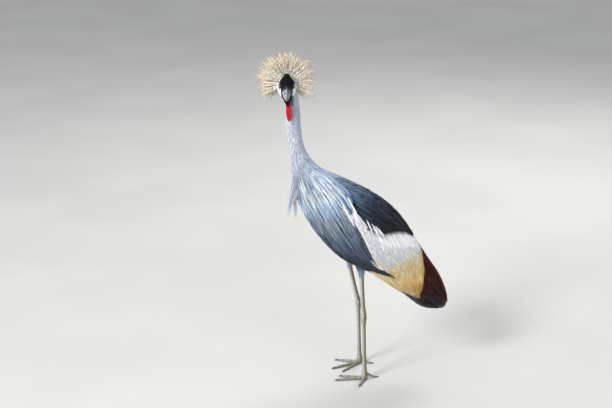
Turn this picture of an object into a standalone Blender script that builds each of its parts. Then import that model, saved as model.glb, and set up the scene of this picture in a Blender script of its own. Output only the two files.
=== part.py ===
"""Grey crowned crane, standing, life size.

Metres, +Z up.  The bird's body heads -Y and its left side is +X; the head is
turned a quarter turn to its left, so the bill points +X.  Every node is a
closed solid.  The plumage is modelled as thick shells laid side by side over
the trunk, out to the tips of the feathers.
"""
import bpy
import bmesh
from math import sin, cos, pi, radians, sqrt, acos
from mathutils import Vector, Matrix

for o in list(bpy.data.objects):
    bpy.data.objects.remove(o, do_unlink=True)

# ------------------------------------------------------------------ sizes
GAP = 0.0004            # clearance between neighbouring nodes
COAT = 0.0100           # thickness of the feather shells over the trunk
TRUNK_GAP = 0.0030      # clearance between the trunk and the shells

HEAD = Vector((0.020, -0.2375, 0.9290))    # middle of the skull
HEAD_TURN = radians(-5.0)                   # bill direction, from +X
HEAD_DIP = radians(12.5)                    # bill points this far down
BILL_LENGTH = 0.060
EYE_RADIUS = 0.0062
CREST_REACH = 0.102                         # bristle tips from the crest's middle
CREST_RISE = radians(18.0)                  # crest axis above straight back
WATTLE_LENGTH = 0.078
ANKLE_Z = 0.213
TARSUS_R = 0.0058
TOE_R = 0.0056
LEFT_FOOT = Vector((0.067, -0.002, 0.0))
RIGHT_FOOT = Vector((-0.049, -0.001, 0.0))

# Stations of the plumage outline, from the neck to the tail tip: the back
# point and the breast or belly point of each station in the middle plane
# (y, z, y, z), the half width, and how square its lower half is.
STATIONS = [
    (-0.1990, 0.888, -0.2385, 0.884, 0.0205, 2.0),
    (-0.1945, 0.800, -0.2345, 0.800, 0.0200, 2.0),
    (-0.188, 0.752, -0.2310, 0.752, 0.0215, 2.0),
    (-0.172, 0.713, -0.2270, 0.708, 0.0280, 2.0),
    (-0.142, 0.677, -0.2220, 0.662, 0.0400, 2.0),
    (-0.105, 0.656, -0.2160, 0.615, 0.0560, 2.0),
    (-0.064, 0.636, -0.2040, 0.568, 0.0740, 2.0),
    (-0.022, 0.615, -0.1830, 0.522, 0.0900, 2.05),
    (0.022, 0.590, -0.1530, 0.474, 0.1010, 2.1),
    (0.063, 0.561, -0.1180, 0.430, 0.1060, 2.2),
    (0.097, 0.530, -0.0760, 0.391, 0.1060, 2.4),
    (0.123, 0.498, -0.0260, 0.364, 0.1020, 2.7),
    (0.142, 0.468, 0.0250, 0.338, 0.0970, 3.0),
    (0.160, 0.440, 0.0650, 0.310, 0.0910, 3.2),
    (0.180, 0.404, 0.0950, 0.287, 0.0830, 3.2),
    (0.202, 0.370, 0.1180, 0.268, 0.0740, 3.0),
    (0.224, 0.338, 0.1370, 0.250, 0.0640, 2.8),
    (0.243, 0.305, 0.1540, 0.234, 0.0530, 2.6),
    (0.257, 0.270, 0.1740, 0.218, 0.0410, 2.4),
    (0.2655, 0.236, 0.1980, 0.208, 0.0290, 2.2),
    (0.2665, 0.212, 0.2280, 0.203, 0.0150, 2.0),
]
LAST = len(STATIONS) - 1
NAPE_U, SHOULDER_U = 1.9, 5.0      # where the neck is parted
TRUNK_END = 14.0                   # the rump

# Borders between the feather groups: (station, degrees from the back line).
MANTLE_EDGE = [(5.0, 30), (6.0, 36), (6.5, 44), (7.0, 53), (7.5, 63), (8.0, 73), (8.5, 78), (9.0, 80),
               (9.5, 75), (10.0, 67), (10.5, 52), (11.0, 38), (11.5, 28), (12.0, 20), (12.5, 16)]
WHITE_UPPER = MANTLE_EDGE[:-1] + [(12.5, 17), (13.0, 25), (13.5, 41), (14.0, 54)]
WHITE_LOWER = [(6.0, 37), (6.5, 54), (7.0, 73), (7.5, 84), (8.0, 86), (8.5, 88), (9.0, 91), (9.5, 95),
               (10.0, 100), (10.5, 105), (11.0, 110), (11.5, 114), (12.0, 117), (12.5, 102),
               (13.0, 86), (13.5, 66), (13.7, 58)]
FLANK_UPPER = WHITE_LOWER[:-4] + [(12.4, 118.5)]
FLANK_LOWER = [(5.0, 138), (7.0, 141), (9.0, 141), (10.5, 142), (11.5, 142), (12.0, 136), (12.4, 124)]
GOLD_UPPER = [(12.4, 105), (12.5, 102), (13.0, 86), (13.5, 66), (14.0, 53), (14.5, 70), (15.0, 87),
              (15.5, 103), (16.0, 116)]
GOLD_LOWER = [(12.4, 146), (13.0, 150), (14.0, 150), (15.0, 146), (15.5, 140), (16.0, 128)]
CHESTNUT_LOWER = [(12.2, 15), (12.5, 15), (13.0, 23), (13.5, 39), (14.0, 51), (14.5, 69), (15.0, 86),
                  (15.5, 102), (16.0, 115), (16.5, 124), (17.0, 128), (18.0, 130), (19.0, 120),
                  (20.0, 104), (20.5, 95)]
BLACK_LOWER = [(16.0, 134), (17.0, 158), (18.0, 160), (19.0, 150), (19.5, 132)]

# Skull stations in the head's own frame: forward, height of the middle,
# half height, half width.
SKULL = [
    (-0.0300, 0.0030, 0.0100, 0.0105),
    (-0.0230, 0.0040, 0.0190, 0.0190),
    (-0.0130, 0.0045, 0.0255, 0.0262),
    (-0.0020, 0.0055, 0.0292, 0.0276),
    (0.0080, 0.0060, 0.0300, 0.0250),
    (0.0170, 0.0040, 0.0280, 0.0215),
    (0.0250, 0.0000, 0.0225, 0.0175),
    (0.0305, -0.0035, 0.0175, 0.0158),
    (0.0340, -0.0055, 0.0140, 0.0148),
]

# ------------------------------------------------------------ collections
crane = bpy.data.collections.new("grey_crowned_crane")
cutters = bpy.data.collections.new("cutters")
for c in (crane, cutters):
    bpy.context.scene.collection.children.link(c)

root = bpy.data.objects.new("crane_origin", None)
crane.objects.link(root)


def material(name, colour, rough, metal=0.0):
    m = bpy.data.materials.new(name)
    m.use_nodes = True
    b = m.node_tree.nodes["Principled BSDF"]
    b.inputs["Base Color"].default_value = (*colour, 1.0)
    b.inputs["Roughness"].default_value = rough
    b.inputs["Metallic"].default_value = metal
    m.diffuse_color = (*colour, 1.0)
    return m


M = {
    "velvet": material("velvet_black", (0.008, 0.009, 0.014), 0.85),
    "bill": material("bill_grey", (0.10, 0.12, 0.15), 0.35),
    "eye": material("eye_pale", (0.35, 0.42, 0.48), 0.08),
    "crest": material("crest_straw", (0.72, 0.58, 0.33), 0.60),
    "wattle": material("wattle_red", (0.62, 0.01, 0.03), 0.45),
    "neck": material("neck_pale_grey", (0.62, 0.67, 0.74), 0.80),
    "plume": material("plume_blue_grey", (0.22, 0.27, 0.35), 0.75),
    "mantle": material("mantle_slate", (0.045, 0.055, 0.075), 0.65),
    "covert": material("covert_white", (0.86, 0.84, 0.80), 0.75),
    "gold": material("gold_plumes", (0.72, 0.50, 0.20), 0.70),
    "chestnut": material("chestnut", (0.15, 0.035, 0.018), 0.65),
    "black": material("flight_black", (0.012, 0.012, 0.018), 0.60),
    "leg": material("leg_skin", (0.16, 0.14, 0.11), 0.60),
    "claw": material("claw_horn", (0.03, 0.028, 0.026), 0.40),
}


# ----------------------------------------------------------- small helpers
def lerp_table(table, u):
    """Smooth value of a (station, value) table at u."""
    if u <= table[0][0]:
        return table[0][1]
    for (u0, v0), (u1, v1) in zip(table, table[1:]):
        if u <= u1:
            t = (u - u0) / (u1 - u0)
            return v0 + (v1 - v0) * t
    return table[-1][1]


def catmull(rows, u):
    """Catmull-Rom value of the rows at the real index u."""
    n = len(rows) - 1
    u = min(max(u, 0.0), float(n))
    i = min(int(u), n - 1)
    t = u - i
    p = [rows[min(max(i + k, 0), n)] for k in (-1, 0, 1, 2)]
    out = []
    for a, b, c, d in zip(*p):
        out.append(0.5 * (2 * b + (c - a) * t + (2 * a - 5 * b + 4 * c - d) * t * t
                          + (3 * b - a - 3 * c + d) * t ** 3))
    return out


def power(v, e):
    return (abs(v) ** e) * (1 if v >= 0 else -1)


def station(u):
    """Centre, up-normal, half height, half width and squareness at u."""
    ty, tz, by, bz, b, sq = catmull(STATIONS, u)
    top, low = Vector((0, ty, tz)), Vector((0, by, bz))
    n = top - low
    a = n.length / 2
    return (top + low) / 2, n.normalized(), a, b, sq


def body_point(u, deg, off=0.0):
    """Point of the plumage outline at station u, deg from the back line."""
    c, n, a, b, sq = station(u)
    t = radians(deg)
    s, k = sin(t), cos(t)
    e = 2.0 / (2.0 if k >= 0 else sq)
    x = power(s, e) * (b + off) * (1.0 - 0.06 * k)
    return c + Vector((x, 0, 0)) + n * (power(k, e) * (a + off))


def link(name, bm, mat, smooth=True, where=None):
    me = bpy.data.meshes.new(name)
    bmesh.ops.recalc_face_normals(bm, faces=bm.faces[:])
    bm.to_mesh(me)
    bm.free()
    ob = bpy.data.objects.new(name, me)
    (where or crane).objects.link(ob)
    if where is None:
        ob.parent = root
        me.materials.append(mat)
    else:
        ob.hide_render = True
        ob.display_type = "WIRE"
        ob.parent = root
    if smooth:
        me.shade_smooth()
        me.set_sharp_from_angle(angle=radians(50))
    return ob


def loft(rings, tip0=None, tip1=None):
    """Closed skin over rings of equal count; each end closed on a middle point."""
    bm = bmesh.new()
    rows = [[bm.verts.new(p) for p in r] for r in rings]
    n = len(rows[0])
    for r0, r1 in zip(rows, rows[1:]):
        for i in range(n):
            j = (i + 1) % n
            bm.faces.new((r0[i], r0[j], r1[j], r1[i]))
    for r, tip in ((rows[0], tip0), (rows[-1], tip1)):
        mid = tip if tip is not None else sum((v.co for v in r), Vector()) / n
        m = bm.verts.new(mid)
        for i in range(n):
            bm.faces.new((r[i], r[(i + 1) % n], m))
    return bm


def body_ring(u, off, n=24, shift=0.0):
    """Whole ring of the plumage outline, moved along the body by shift."""
    c0, c1 = station(u - 0.05)[0], station(u + 0.05)[0]
    c, nrm = station(u)[:2]
    along = nrm.cross(Vector((1, 0, 0)))
    if along.dot(c1 - c0) < 0:
        along = -along
    out = []
    for i in range(n):
        p = body_point(u, 360.0 * i / n, off) if i <= n // 2 else None
        if p is None:
            q = body_point(u, 360.0 - 360.0 * i / n, off)
            p = Vector((-q.x, q.y, q.z))
        out.append(p + along * shift)
    return out


def lattice(u0, u1):
    """Rows of a shell: its two ends and every half station between them."""
    k = [0.5 * i for i in range(int(u0 * 2) - 1, int(u1 * 2) + 3)]
    return [u0] + [u for u in k if u0 + 0.12 < u < u1 - 0.12] + [u1]


def shell(name, mat, u0, u1, deg0, deg1, nd, proud, inner, side=1, thin=None):
    """Thick patch of the plumage between the borders deg0(u) and deg1(u).

    proud is the offset of its outer face and inner that of its inner face;
    thin(s, t) narrows it from 1 towards a free edge."""
    bm = bmesh.new()
    grid = {}
    us = lattice(u0, u1)
    nu = len(us) - 1
    for i, u in enumerate(us):
        s = (u - u0) / (u1 - u0)
        a, b = deg0(u), deg1(u)
        for j in range(nd + 1):
            t = j / nd
            d = a + (b - a) * t
            w = thin(s, t) if thin else 1.0
            mid = (proud + inner) / 2
            for k, off in ((0, mid + (proud - mid) * w), (1, mid + (inner - mid) * w)):
                sgn = side
                if d < 0:
                    sgn = -side
                if d > 180:
                    sgn = -side
                p = body_point(u, 360 - d if d > 180 else abs(d), off)
                grid[i, j, k] = bm.verts.new((p.x * sgn, p.y, p.z))

    def quad(*k):
        bm.faces.new([grid[x] for x in k])
    for i in range(nu):
        for j in range(nd):
            quad((i, j, 0), (i, j + 1, 0), (i + 1, j + 1, 0), (i + 1, j, 0))
            quad((i, j, 1), (i + 1, j, 1), (i + 1, j + 1, 1), (i, j + 1, 1))
        quad((i, 0, 0), (i + 1, 0, 0), (i + 1, 0, 1), (i, 0, 1))
        quad((i, nd, 0), (i, nd, 1), (i + 1, nd, 1), (i + 1, nd, 0))
    for j in range(nd):
        quad((0, j, 0), (0, j, 1), (0, j + 1, 1), (0, j + 1, 0))
        quad((nu, j, 0), (nu, j + 1, 0), (nu, j + 1, 1), (nu, j, 1))
    return link(name, bm, mat)


def cut(target, cutter):
    m = target.modifiers.new("cut_" + cutter.name, "BOOLEAN")
    m.operation = "DIFFERENCE"
    m.object = cutter
    m.solver = "EXACT"
    return m


def edge(table, shift_mm=0.0):
    """Border function of a table, moved sideways by so many millimetres."""
    def f(u):
        b = station(u)[3]
        return lerp_table(table, u) + shift_mm * 0.001 / max(b, 0.02) * 180 / pi
    return f


def notched(f, count, depth, u0, u1):
    """Border with pointed feather tips, depth in degrees."""
    def g(u):
        t = (u - u0) / (u1 - u0) * count
        return f(u) - depth * abs((t % 1.0) - 0.5) * 2
    return g


def ease(x):
    x = min(max(x, 0.0), 1.0)
    return x * x * (3 - 2 * x)


# -------------------------------------------------------------- neck, trunk
# The neck's last stretch leans forward under the skull: centre and radius.
NAPE = [((0.0090, -0.2310, 0.9220), 0.0150), ((0.0060, -0.2280, 0.9120), 0.0190), ((0.0025, -0.2225, 0.9000), 0.0203)]


def nape_rings(off=0.0, n=20):
    return [[Vector(c) + Vector(((r + off) * sin(2 * pi * k / n), (r + off) * cos(2 * pi * k / n), 0))
             for k in range(n)] for c, r in NAPE]


def neck_piece(name, ua, ub, steps, a_shift, b_shift):
    us = [ua + (ub - ua) * i / steps for i in range(steps + 1)]
    rings = nape_rings() if ua == 0.0 else []
    for i, u in enumerate(us):
        sh = a_shift if i == 0 else (b_shift if i == steps else 0.0)
        rings.append(body_ring(u, 0.0, 20, sh))
    return loft(rings)


neck_upper = link("neck_upper", neck_piece("neck_upper", 0.0, NAPE_U, 4, 0.0, -GAP / 2), M["neck"])
neck_lower = link("neck_lower", neck_piece("neck_lower", NAPE_U, SHOULDER_U, 6, GAP / 2, -GAP / 2), M["neck"])

# The trunk: the body under the feather shells, its belly rising to the rump.
rings = []
TRUNK_STEPS = 18
for i in range(TRUNK_STEPS + 1):
    s = i / TRUNK_STEPS
    u = SHOULDER_U + (TRUNK_END - SHOULDER_U) * s
    ring = body_ring(u, -COAT - TRUNK_GAP, 18, GAP / 2 if i == 0 else 0.0)
    n = station(u)[1]
    c = station(u)[0]
    lift = 0.42 * ease((s - 0.45) / 0.5)
    close = 1.0 - 0.35 * ease((s - 0.75) / 0.25)
    new = []
    for p in ring:
        h = (p - c).dot(n)
        if h < 0:
            p = p - n * h * lift
        new.append(Vector((p.x * close, p.y, p.z)))
    rings.append(new)
trunk = link("trunk", loft(rings), M["plume"])
rump_ring = rings[-1]

# The tail: a bundle of straight feathers between the drooping wing feathers.
REAR_COAT = 0.0060
rings = []
for i in range(11):
    s = i / 10
    u = TRUNK_END + (19.4 - TRUNK_END) * s
    ring = body_ring(u, -REAR_COAT - 0.0010, 16)
    n = station(u)[1]
    c = station(u)[0]
    wide = 0.64 + 0.24 * ease(s / 0.3)
    new = []
    for p in ring:
        h = (p - c).dot(n)
        p = p - n * (h * 0.42 if h < 0 else 0.0) - n * 0.0035 * (1 - s)
        new.append(Vector((p.x * wide, p.y, p.z)))
    rings.append(new)
along = station(TRUNK_END)[1].cross(Vector((1, 0, 0)))
if along.dot(station(TRUNK_END + 0.1)[0] - station(TRUNK_END)[0]) < 0:
    along = -along
rings[0] = [p + along * GAP * 1.5 for p in rings[0]]
tail = link("tail", loft(rings), M["black"])

# --------------------------------------------------------- feather shells
START = SHOULDER_U + 0.02


def taper(end, low):
    """Thickness towards the last station (end) and the lower border (low)."""
    def f(s, t):
        w = 1.0
        if end:
            w *= end + (1 - end) * ease((1.0 - s) / 0.4)
        if low:
            w *= low + (1 - low) * ease((1.0 - t) / 0.4)
        return w
    return f


def both(u):
    return -edge(MANTLE_EDGE)(u)


mantle = shell("mantle", M["mantle"], START, 12.15, both, edge(MANTLE_EDGE), 10, 0.0014, -COAT)
breast = shell("breast", M["plume"], START, 11.0, edge(FLANK_LOWER, 1.2),
               lambda u: 360.0 - edge(FLANK_LOWER, 1.2)(u), 6, 0.0, -COAT, 1, taper(0.5, None))

for side, tag in ((1, "left"), (-1, "right")):
    shell("wing_" + tag, M["covert"], 6.1, 13.7, edge(WHITE_UPPER, 1.2), edge(WHITE_LOWER), 4,
          0.0008, -COAT, side)
    shell("flank_" + tag, M["plume"], START, 12.4,
          lambda u: max(edge(MANTLE_EDGE, 1.2)(u) if u < 6.3 else 0.0, edge(FLANK_UPPER, 1.2)(u)),
          edge(FLANK_LOWER), 6, 0.0, -COAT, side, taper(0.4, None))
    shell("gold_plumes_" + tag, M["gold"], 12.5, 16.0, edge(GOLD_UPPER, 1.4), edge(GOLD_LOWER), 6,
          0.0004, -REAR_COAT, side, taper(None, 0.35))
    shell("secondaries_" + tag, M["chestnut"], 12.25, 20.5,
          lambda u: 0.00045 / station(u)[3] * 180 / pi, edge(CHESTNUT_LOWER), 5,
          0.0010, -REAR_COAT, side, taper(0.35, None))
    shell("primaries_" + tag, M["black"], 16.1, 19.5, edge(CHESTNUT_LOWER, 1.2), edge(BLACK_LOWER), 4,
          0.0, -REAR_COAT, side, taper(0.4, 0.5))

# The fringe of long plumes that hangs from the neck before the breast.
FRINGE = [(0.640, -0.2170, 0.0020, 0.008), (0.622, -0.2180, 0.0050, 0.018), (0.600, -0.2205, 0.0070, 0.026), (0.570, -0.2220, 0.0110, 0.034),
          (0.540, -0.2200, 0.0140, 0.034), (0.518, -0.2160, 0.0170, 0.028), (0.503, -0.2190, 0.0180, 0.020),
          (0.497, -0.2240, 0.0150, 0.012)]
fringe = link("neck_fringe", loft([[Vector((hx * cos(2 * pi * k / 12), cy + hy * sin(2 * pi * k / 12), z))
                                    for k in range(12)] for z, cy, hy, hx in FRINGE]), M["neck"])
front_cut = link("fringe_cutter", loft([body_ring(3.4 + 0.4 * i, GAP, 32) for i in range(16)]), None, where=cutters)
cut(fringe, front_cut)

# -------------------------------------------------------------- head
fwd = Vector((cos(HEAD_TURN) * cos(HEAD_DIP), sin(HEAD_TURN) * cos(HEAD_DIP), -sin(HEAD_DIP)))
lat = Vector((-sin(HEAD_TURN), cos(HEAD_TURN), 0.0))
up = fwd.cross(lat)


def on_head(h, l, v):
    return HEAD + fwd * h + lat * l + up * v


def skull_ring(h, mid, hv, hl, off=0.0, n=16):
    out = []
    for k in range(n):
        t = 2 * pi * k / n
        v, l = cos(t), sin(t)
        if v < 0:
            l = power(l, 0.72)                 # full cheeks
        cheek = ease((0.12 - v) / 0.5)
        egg = 0.86 + 0.14 * cheek - 0.20 * max(v, 0.0) ** 2 - 0.10 * max(-v, 0.0) ** 2
        deep = 1.22 if v < 0 else 1.0
        out.append(on_head(h, l * (hl + off) * egg, mid + v * (hv * deep + off)))
    return out


def skull(off=0.0):
    rings = [skull_ring(*row, off) for row in SKULL]
    h0, m0 = SKULL[0][0], SKULL[0][1]
    h1, m1 = SKULL[-1][0], SKULL[-1][1]
    return loft(rings, on_head(h0 - 0.0045 - off, 0, m0), on_head(h1 + off, 0, m1))


head = link("head", skull(), M["velvet"])
head_cut = link("head_cutter", skull(GAP), None, where=cutters)
cut(neck_upper, head_cut)

for side, tag in ((1, "left"), (-1, "right")):
    at = on_head(0.0125, 0.0176 * side, 0.0030)
    for name, r, where in (("eye_" + tag, EYE_RADIUS, None), ("socket_" + tag, EYE_RADIUS + GAP, cutters)):
        bm = bmesh.new()
        bmesh.ops.create_uvsphere(bm, u_segments=12, v_segments=7, radius=r)
        ob = link(name, bm, M["eye"], where=where)
        ob.location = at
        if where is not None:
            cut(head, ob)

# The bill: two horny halves that meet on the gape line.
BILL_BASE = SKULL[-1][0] + GAP
for tag, sign, depth in (("upper", 1, 0.0130), ("lower", -1, 0.0095)):
    rings = []
    for i in range(7):
        s = i / 6.0
        h = BILL_BASE + (BILL_LENGTH - (0.004 if sign < 0 else 0.0)) * s
        narrow = (1 - s) ** 0.55 * 0.90 + 0.10
        flat = -0.0045 - 0.0035 * s * s + sign * GAP * 0.5
        dv = depth * ((1 - s) ** 0.75 * 0.86 + 0.14 * (1 - s * s) + 0.04)
        wl = 0.0145 * narrow
        ring = []
        for k in range(12):
            if k < 9:
                t = pi * k / 8
                ring.append(on_head(h, wl * cos(t), flat + sign * dv * sin(t)))
            else:
                ring.append(on_head(h, -wl * (1 - (k - 8) / 2.0), flat))
        rings.append(ring)
    link("bill_" + tag, loft(rings), M["bill"])

# The crest: stiff bristles standing out all round the back of the head,
# modelled as one burst of pointed locks.
axis = (-fwd * cos(CREST_RISE) + up * sin(CREST_RISE)).normalized()
rise = lat.cross(axis).normalized()
if rise.dot(up) < 0:
    rise = -rise
CREST_AT = on_head(-0.008, 0.0, 0.004)
COLS, ROWS = 28, 5


def crest_opening(al):
    """Half angle of the crest around its axis; al is 90 deg at the top."""
    s = sin(al)
    return radians(90 - 20 * s if s >= 0 else 90 + 18 * sin(pi * min(-s, 1.0)) - 16 * s * s)


bm = bmesh.new()
pole = bm.verts.new(CREST_AT + axis * CREST_REACH * 0.93)
rows = []
for i in range(1, ROWS + 1):
    row = []
    for j in range(COLS):
        al = 2 * pi * j / COLS
        psi = crest_opening(al) * i / ROWS
        d = axis * cos(psi) + (lat * cos(al) + rise * sin(al)) * sin(psi)
        tip = (i + j) % 2 == 1
        r = CREST_REACH * (1.0 - 0.05 * sin(3.1 * j + 1.7 * i)) if tip else CREST_REACH * 0.60
        if i == ROWS and not tip:
            r = CREST_REACH * 0.66
        row.append(bm.verts.new(CREST_AT + d * r))
    rows.append(row)
for j in range(COLS):
    bm.faces.new((pole, rows[0][j], rows[0][(j + 1) % COLS]))
for i, (r0, r1) in enumerate(zip(rows, rows[1:])):
    for j in range(COLS):
        k = (j + 1) % COLS
        if (i + 1 + j) % 2 == 1:       # r0[j] is a tip: keep the crease between the hollows
            bm.faces.new((r0[j], r1[j], r0[k]))
            bm.faces.new((r1[j], r1[k], r0[k]))
        else:
            bm.faces.new((r0[j], r1[j], r1[k]))
            bm.faces.new((r0[j], r1[k], r0[k]))
heart = bm.verts.new(CREST_AT + fwd * 0.002)
for j in range(COLS):
    bm.faces.new((rows[-1][j], heart, rows[-1][(j + 1) % COLS]))
crest = link("crest", bm, M["crest"], smooth=False)
cut(crest, head_cut)
nape_cut = link("nape_cutter", loft([[q + Vector((0, 0, 0.004)) for q in nape_rings(GAP * 1.5)[0]]]
                                    + nape_rings(GAP * 1.5) + [body_ring(0.5 * i, GAP * 1.5, 20) for i in range(6)]),
                None, where=cutters)
cut(crest, nape_cut)

# The red throat wattle, a flat soft drop.
WATTLE_AT = Vector((0.034, -0.2365, 0.9010))
rings = []
for i in range(9):
    s = i / 8
    z = WATTLE_AT.z - WATTLE_LENGTH * s
    w = 0.0045 + 0.0037 * ease((s - 0.15) / 0.5) if s < 0.75 else 0.0082 * sqrt(max(1 - ((s - 0.75) / 0.262) ** 2, 0.02))
    t = 0.0030 * (1.0 if s < 0.8 else 0.7)
    mid = WATTLE_AT + Vector((-0.004 * s, 0.0055 * s, 0)) + Vector((0, 0, -WATTLE_LENGTH * s))
    rings.append([mid + lat * (w * cos(2 * pi * k / 12)) + Vector((fwd.x, fwd.y, 0)).normalized() * (t * sin(2 * pi * k / 12))
                  for k in range(12)])
wattle = link("wattle", loft(rings), M["wattle"])
cut(wattle, head_cut)

# -------------------------------------------------------------- legs
def tube(path, n=12, flat_floor=False):
    """Round loft along (point, radius along the step side, radius across) rows."""
    rings = []
    for i, (p, ra, rb) in enumerate(path):
        a = path[max(i - 1, 0)][0]
        b = path[min(i + 1, len(path) - 1)][0]
        t = (b - a).normalized()
        ref = Vector((1, 0, 0)) if abs(t.z) > 0.6 else Vector((0, 0, 1))
        s1 = t.cross(ref).normalized()
        s2 = t.cross(s1).normalized()
        ring = [p + s1 * (ra * cos(2 * pi * k / n)) + s2 * (rb * sin(2 * pi * k / n)) for k in range(n)]
        if flat_floor:
            ring = [Vector((q.x, q.y, max(q.z, 0.0))) for q in ring]
        rings.append(ring)
    return rings


envelope_cut = link("envelope_cutter", loft([body_ring(6.0 + 0.5 * i, GAP + 0.0010, 40) for i in range(17)]),
                    None, where=cutters)

# (thigh foot, thigh root, foot, toes: end points on the floor; back toe last)
LEGS = {
    "left": (Vector((0.067, -0.017, 0.344)), Vector((0.060, -0.022, 0.425)), LEFT_FOOT,
             [Vector((0.040, -0.081, 0)), Vector((0.070, -0.097, 0)), Vector((0.122, -0.028, 0))],
             Vector((0.056, 0.046, 0))),
    "right": (Vector((-0.049, -0.036, 0.334)), Vector((-0.050, -0.036, 0.425)), RIGHT_FOOT,
              [Vector((0.014, -0.066, 0)), Vector((-0.012, -0.096, 0)), Vector((-0.078, -0.078, 0))],
              Vector((-0.040, 0.046, 0))),
}
TOE_NAMES = ("inner", "middle", "outer")

for tag, (knee, hip, foot, toes, hind) in LEGS.items():
    side = 1 if tag == "left" else -1
    ankle = Vector((foot.x, foot.y - 0.007, ANKLE_Z))
    # feathered thigh, from under the belly plumes to the bare leg
    rows = []
    for i in range(9):
        s = i / 8
        p = hip.lerp(knee, s)
        rows.append((p, 0.0245 - 0.0150 * ease((s - 0.15) / 0.85), 0.0215 - 0.0125 * ease((s - 0.15) / 0.85)))
    t = (ankle - knee).normalized()
    rows.append((knee + t * 0.0015, 0.0088, 0.0084))
    thigh = link("thigh_" + tag, loft(tube(rows[:-2] + rows[-1:], 14)), M["plume"])
    cut(thigh, envelope_cut)
    # bare shin down to the ankle
    rows = []
    for s, r in ((0.0, 0.0066), (0.25, 0.0060), (0.55, 0.0058), (0.80, 0.0066), (0.92, 0.0082), (1.0, 0.0086)):
        p = Vector(knee).lerp(ankle, s)
        rows.append((p, r * 1.12, r))
    rings = tube(rows, 10)
    shin = link("shin_" + tag, loft(rings), M["leg"])
    shin_cut = link("shin_cutter_" + tag, loft(tube([(q - t * (0.010 if i == 0 else 0.0), ra + GAP, rb + GAP)
                                                     for i, (q, ra, rb) in enumerate(rows)], 10)), None, where=cutters)
    cut(thigh, shin_cut)
    # tarsus down to the foot
    top = ankle + t * GAP
    base = Vector((foot.x, foot.y, 0.0085))
    rows = [(top, 0.0086 * 1.12, 0.0086)]
    tt = (base - top).normalized()
    for s, r in ((0.035, 0.0090), (0.08, 0.0074), (0.16, TARSUS_R), (0.55, TARSUS_R * 0.95), (0.85, TARSUS_R * 1.08),
                 (0.93, 0.0080), (1.0, 0.0092)):
        rows.append((top.lerp(base, s), r * 1.1, r))
    rings = tube(rows, 10)
    rings[0] = tube([(top, 0.0086 * 1.12, 0.0086), (top + t * 0.01, 0.0086, 0.0086)], 10)[0]
    rings.append([Vector((foot.x + 0.0085 * (q.x - base.x) / 0.0092, foot.y + 0.0085 * (q.y - base.y) / 0.0092, 0.0))
                  for q in rings[-1]])
    link("tarsus_" + tag, loft(rings), M["leg"])
    # a slightly larger foot root, which trims the toes
    hub = link("foot_cutter_" + tag,
               loft([[Vector((foot.x + (r + GAP) * cos(2 * pi * k / 20), foot.y + (r + GAP) * sin(2 * pi * k / 20), z))
                      for k in range(20)] for z, r in ((-0.01, 0.0104), (0.010, 0.0104), (0.022, 0.0092), (0.040, 0.0080))]),
               None, where=cutters)
    for name, tip in sorted(zip(TOE_NAMES, toes), key=lambda r: r[0] != "middle") + [("hind", hind)]:
        hindtoe = name == "hind"
        start = foot + Vector((0, 0, 0.0205 if hindtoe else 0.0075))
        flat = Vector((tip.x - foot.x, tip.y - foot.y, 0)).normalized()
        length = (Vector((tip.x, tip.y, 0)) - Vector((foot.x, foot.y, 0))).length
        claw = 0.013 if hindtoe else 0.012
        n = 5
        rows = []
        r0 = TOE_R * (0.78 if hindtoe else (1.05 if name == "middle" else 0.95))
        for i in range(n + 1):
            s = i / n
            r = r0 * (1.0 - 0.30 * s) * (1.0 + 0.06 * sin(s * 3 * 2 * pi))
            z = (0.0205 * (1 - ease(s * 1.05)) if hindtoe else 0.0075 * (1 - ease(s * 3))) + r * 0.82 * (ease(s * 3) if not hindtoe else ease(s * 1.05))
            rows.append((Vector((foot.x, foot.y, 0)) + flat * ((length - claw) * s) + Vector((0, 0, z)), r * 0.96, r))
        rings = tube(rows, 9, True)
        toe = link("toe_%s_%s" % (name, tag), loft(rings), M["leg"])
        cut(toe, hub)
        if name == "middle":
            middle_rows = [(q, ra + GAP, rb + GAP) for q, ra, rb in rows]
            middle_cut = link("middle_cutter_" + tag, loft(tube(middle_rows, 9)), None, where=cutters)
            neighbours = []
        else:
            neighbours.append(toe)
        end, ra, rb = rows[-1]
        way = (rows[-1][0] - rows[-2][0]).normalized()
        mid = sum(rings[-1], Vector()) / 9
        crings = [[mid + (q - mid) * 0.86 + way * GAP * 1.2 for q in rings[-1]]]
        for i in range(1, 4):
            s = i / 3
            c = mid + way * GAP * 1.2 + flat * (claw * s) + Vector((0, 0, 0.0008 * sin(pi * s) - 0.0016 * s))
            crings.append([Vector((c.x, c.y, c.z)) + (q - mid) * (0.86 - 0.72 * s) for q in rings[-1]])
        crings = [[Vector((q.x, q.y, max(q.z, 0.0))) for q in r] for r in crings]
        link("claw_%s_%s" % (name, tag), loft(crings), M["claw"])

    for toe in neighbours[:2]:
        cut(toe, middle_cut)

# ------------------------------------------------- origin at the base's middle
deps = bpy.context.evaluated_depsgraph_get()
deps.update()
lo, hi = Vector((9, 9, 9)), Vector((-9, -9, -9))
for o in crane.objects:
    if o.type != "MESH":
        continue
    ev = o.evaluated_get(deps)
    me = ev.to_mesh()
    for v in me.vertices:
        q = o.matrix_world @ v.co
        lo = Vector(map(min, lo, q))
        hi = Vector(map(max, hi, q))
    ev.to_mesh_clear()
root.location = (-(lo.x + hi.x) / 2, -(lo.y + hi.y) / 2, 0.0)
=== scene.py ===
import math
import bpy
import bmesh
import numpy as np
from mathutils import Vector, Matrix
from mathutils.kdtree import KDTree


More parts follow.
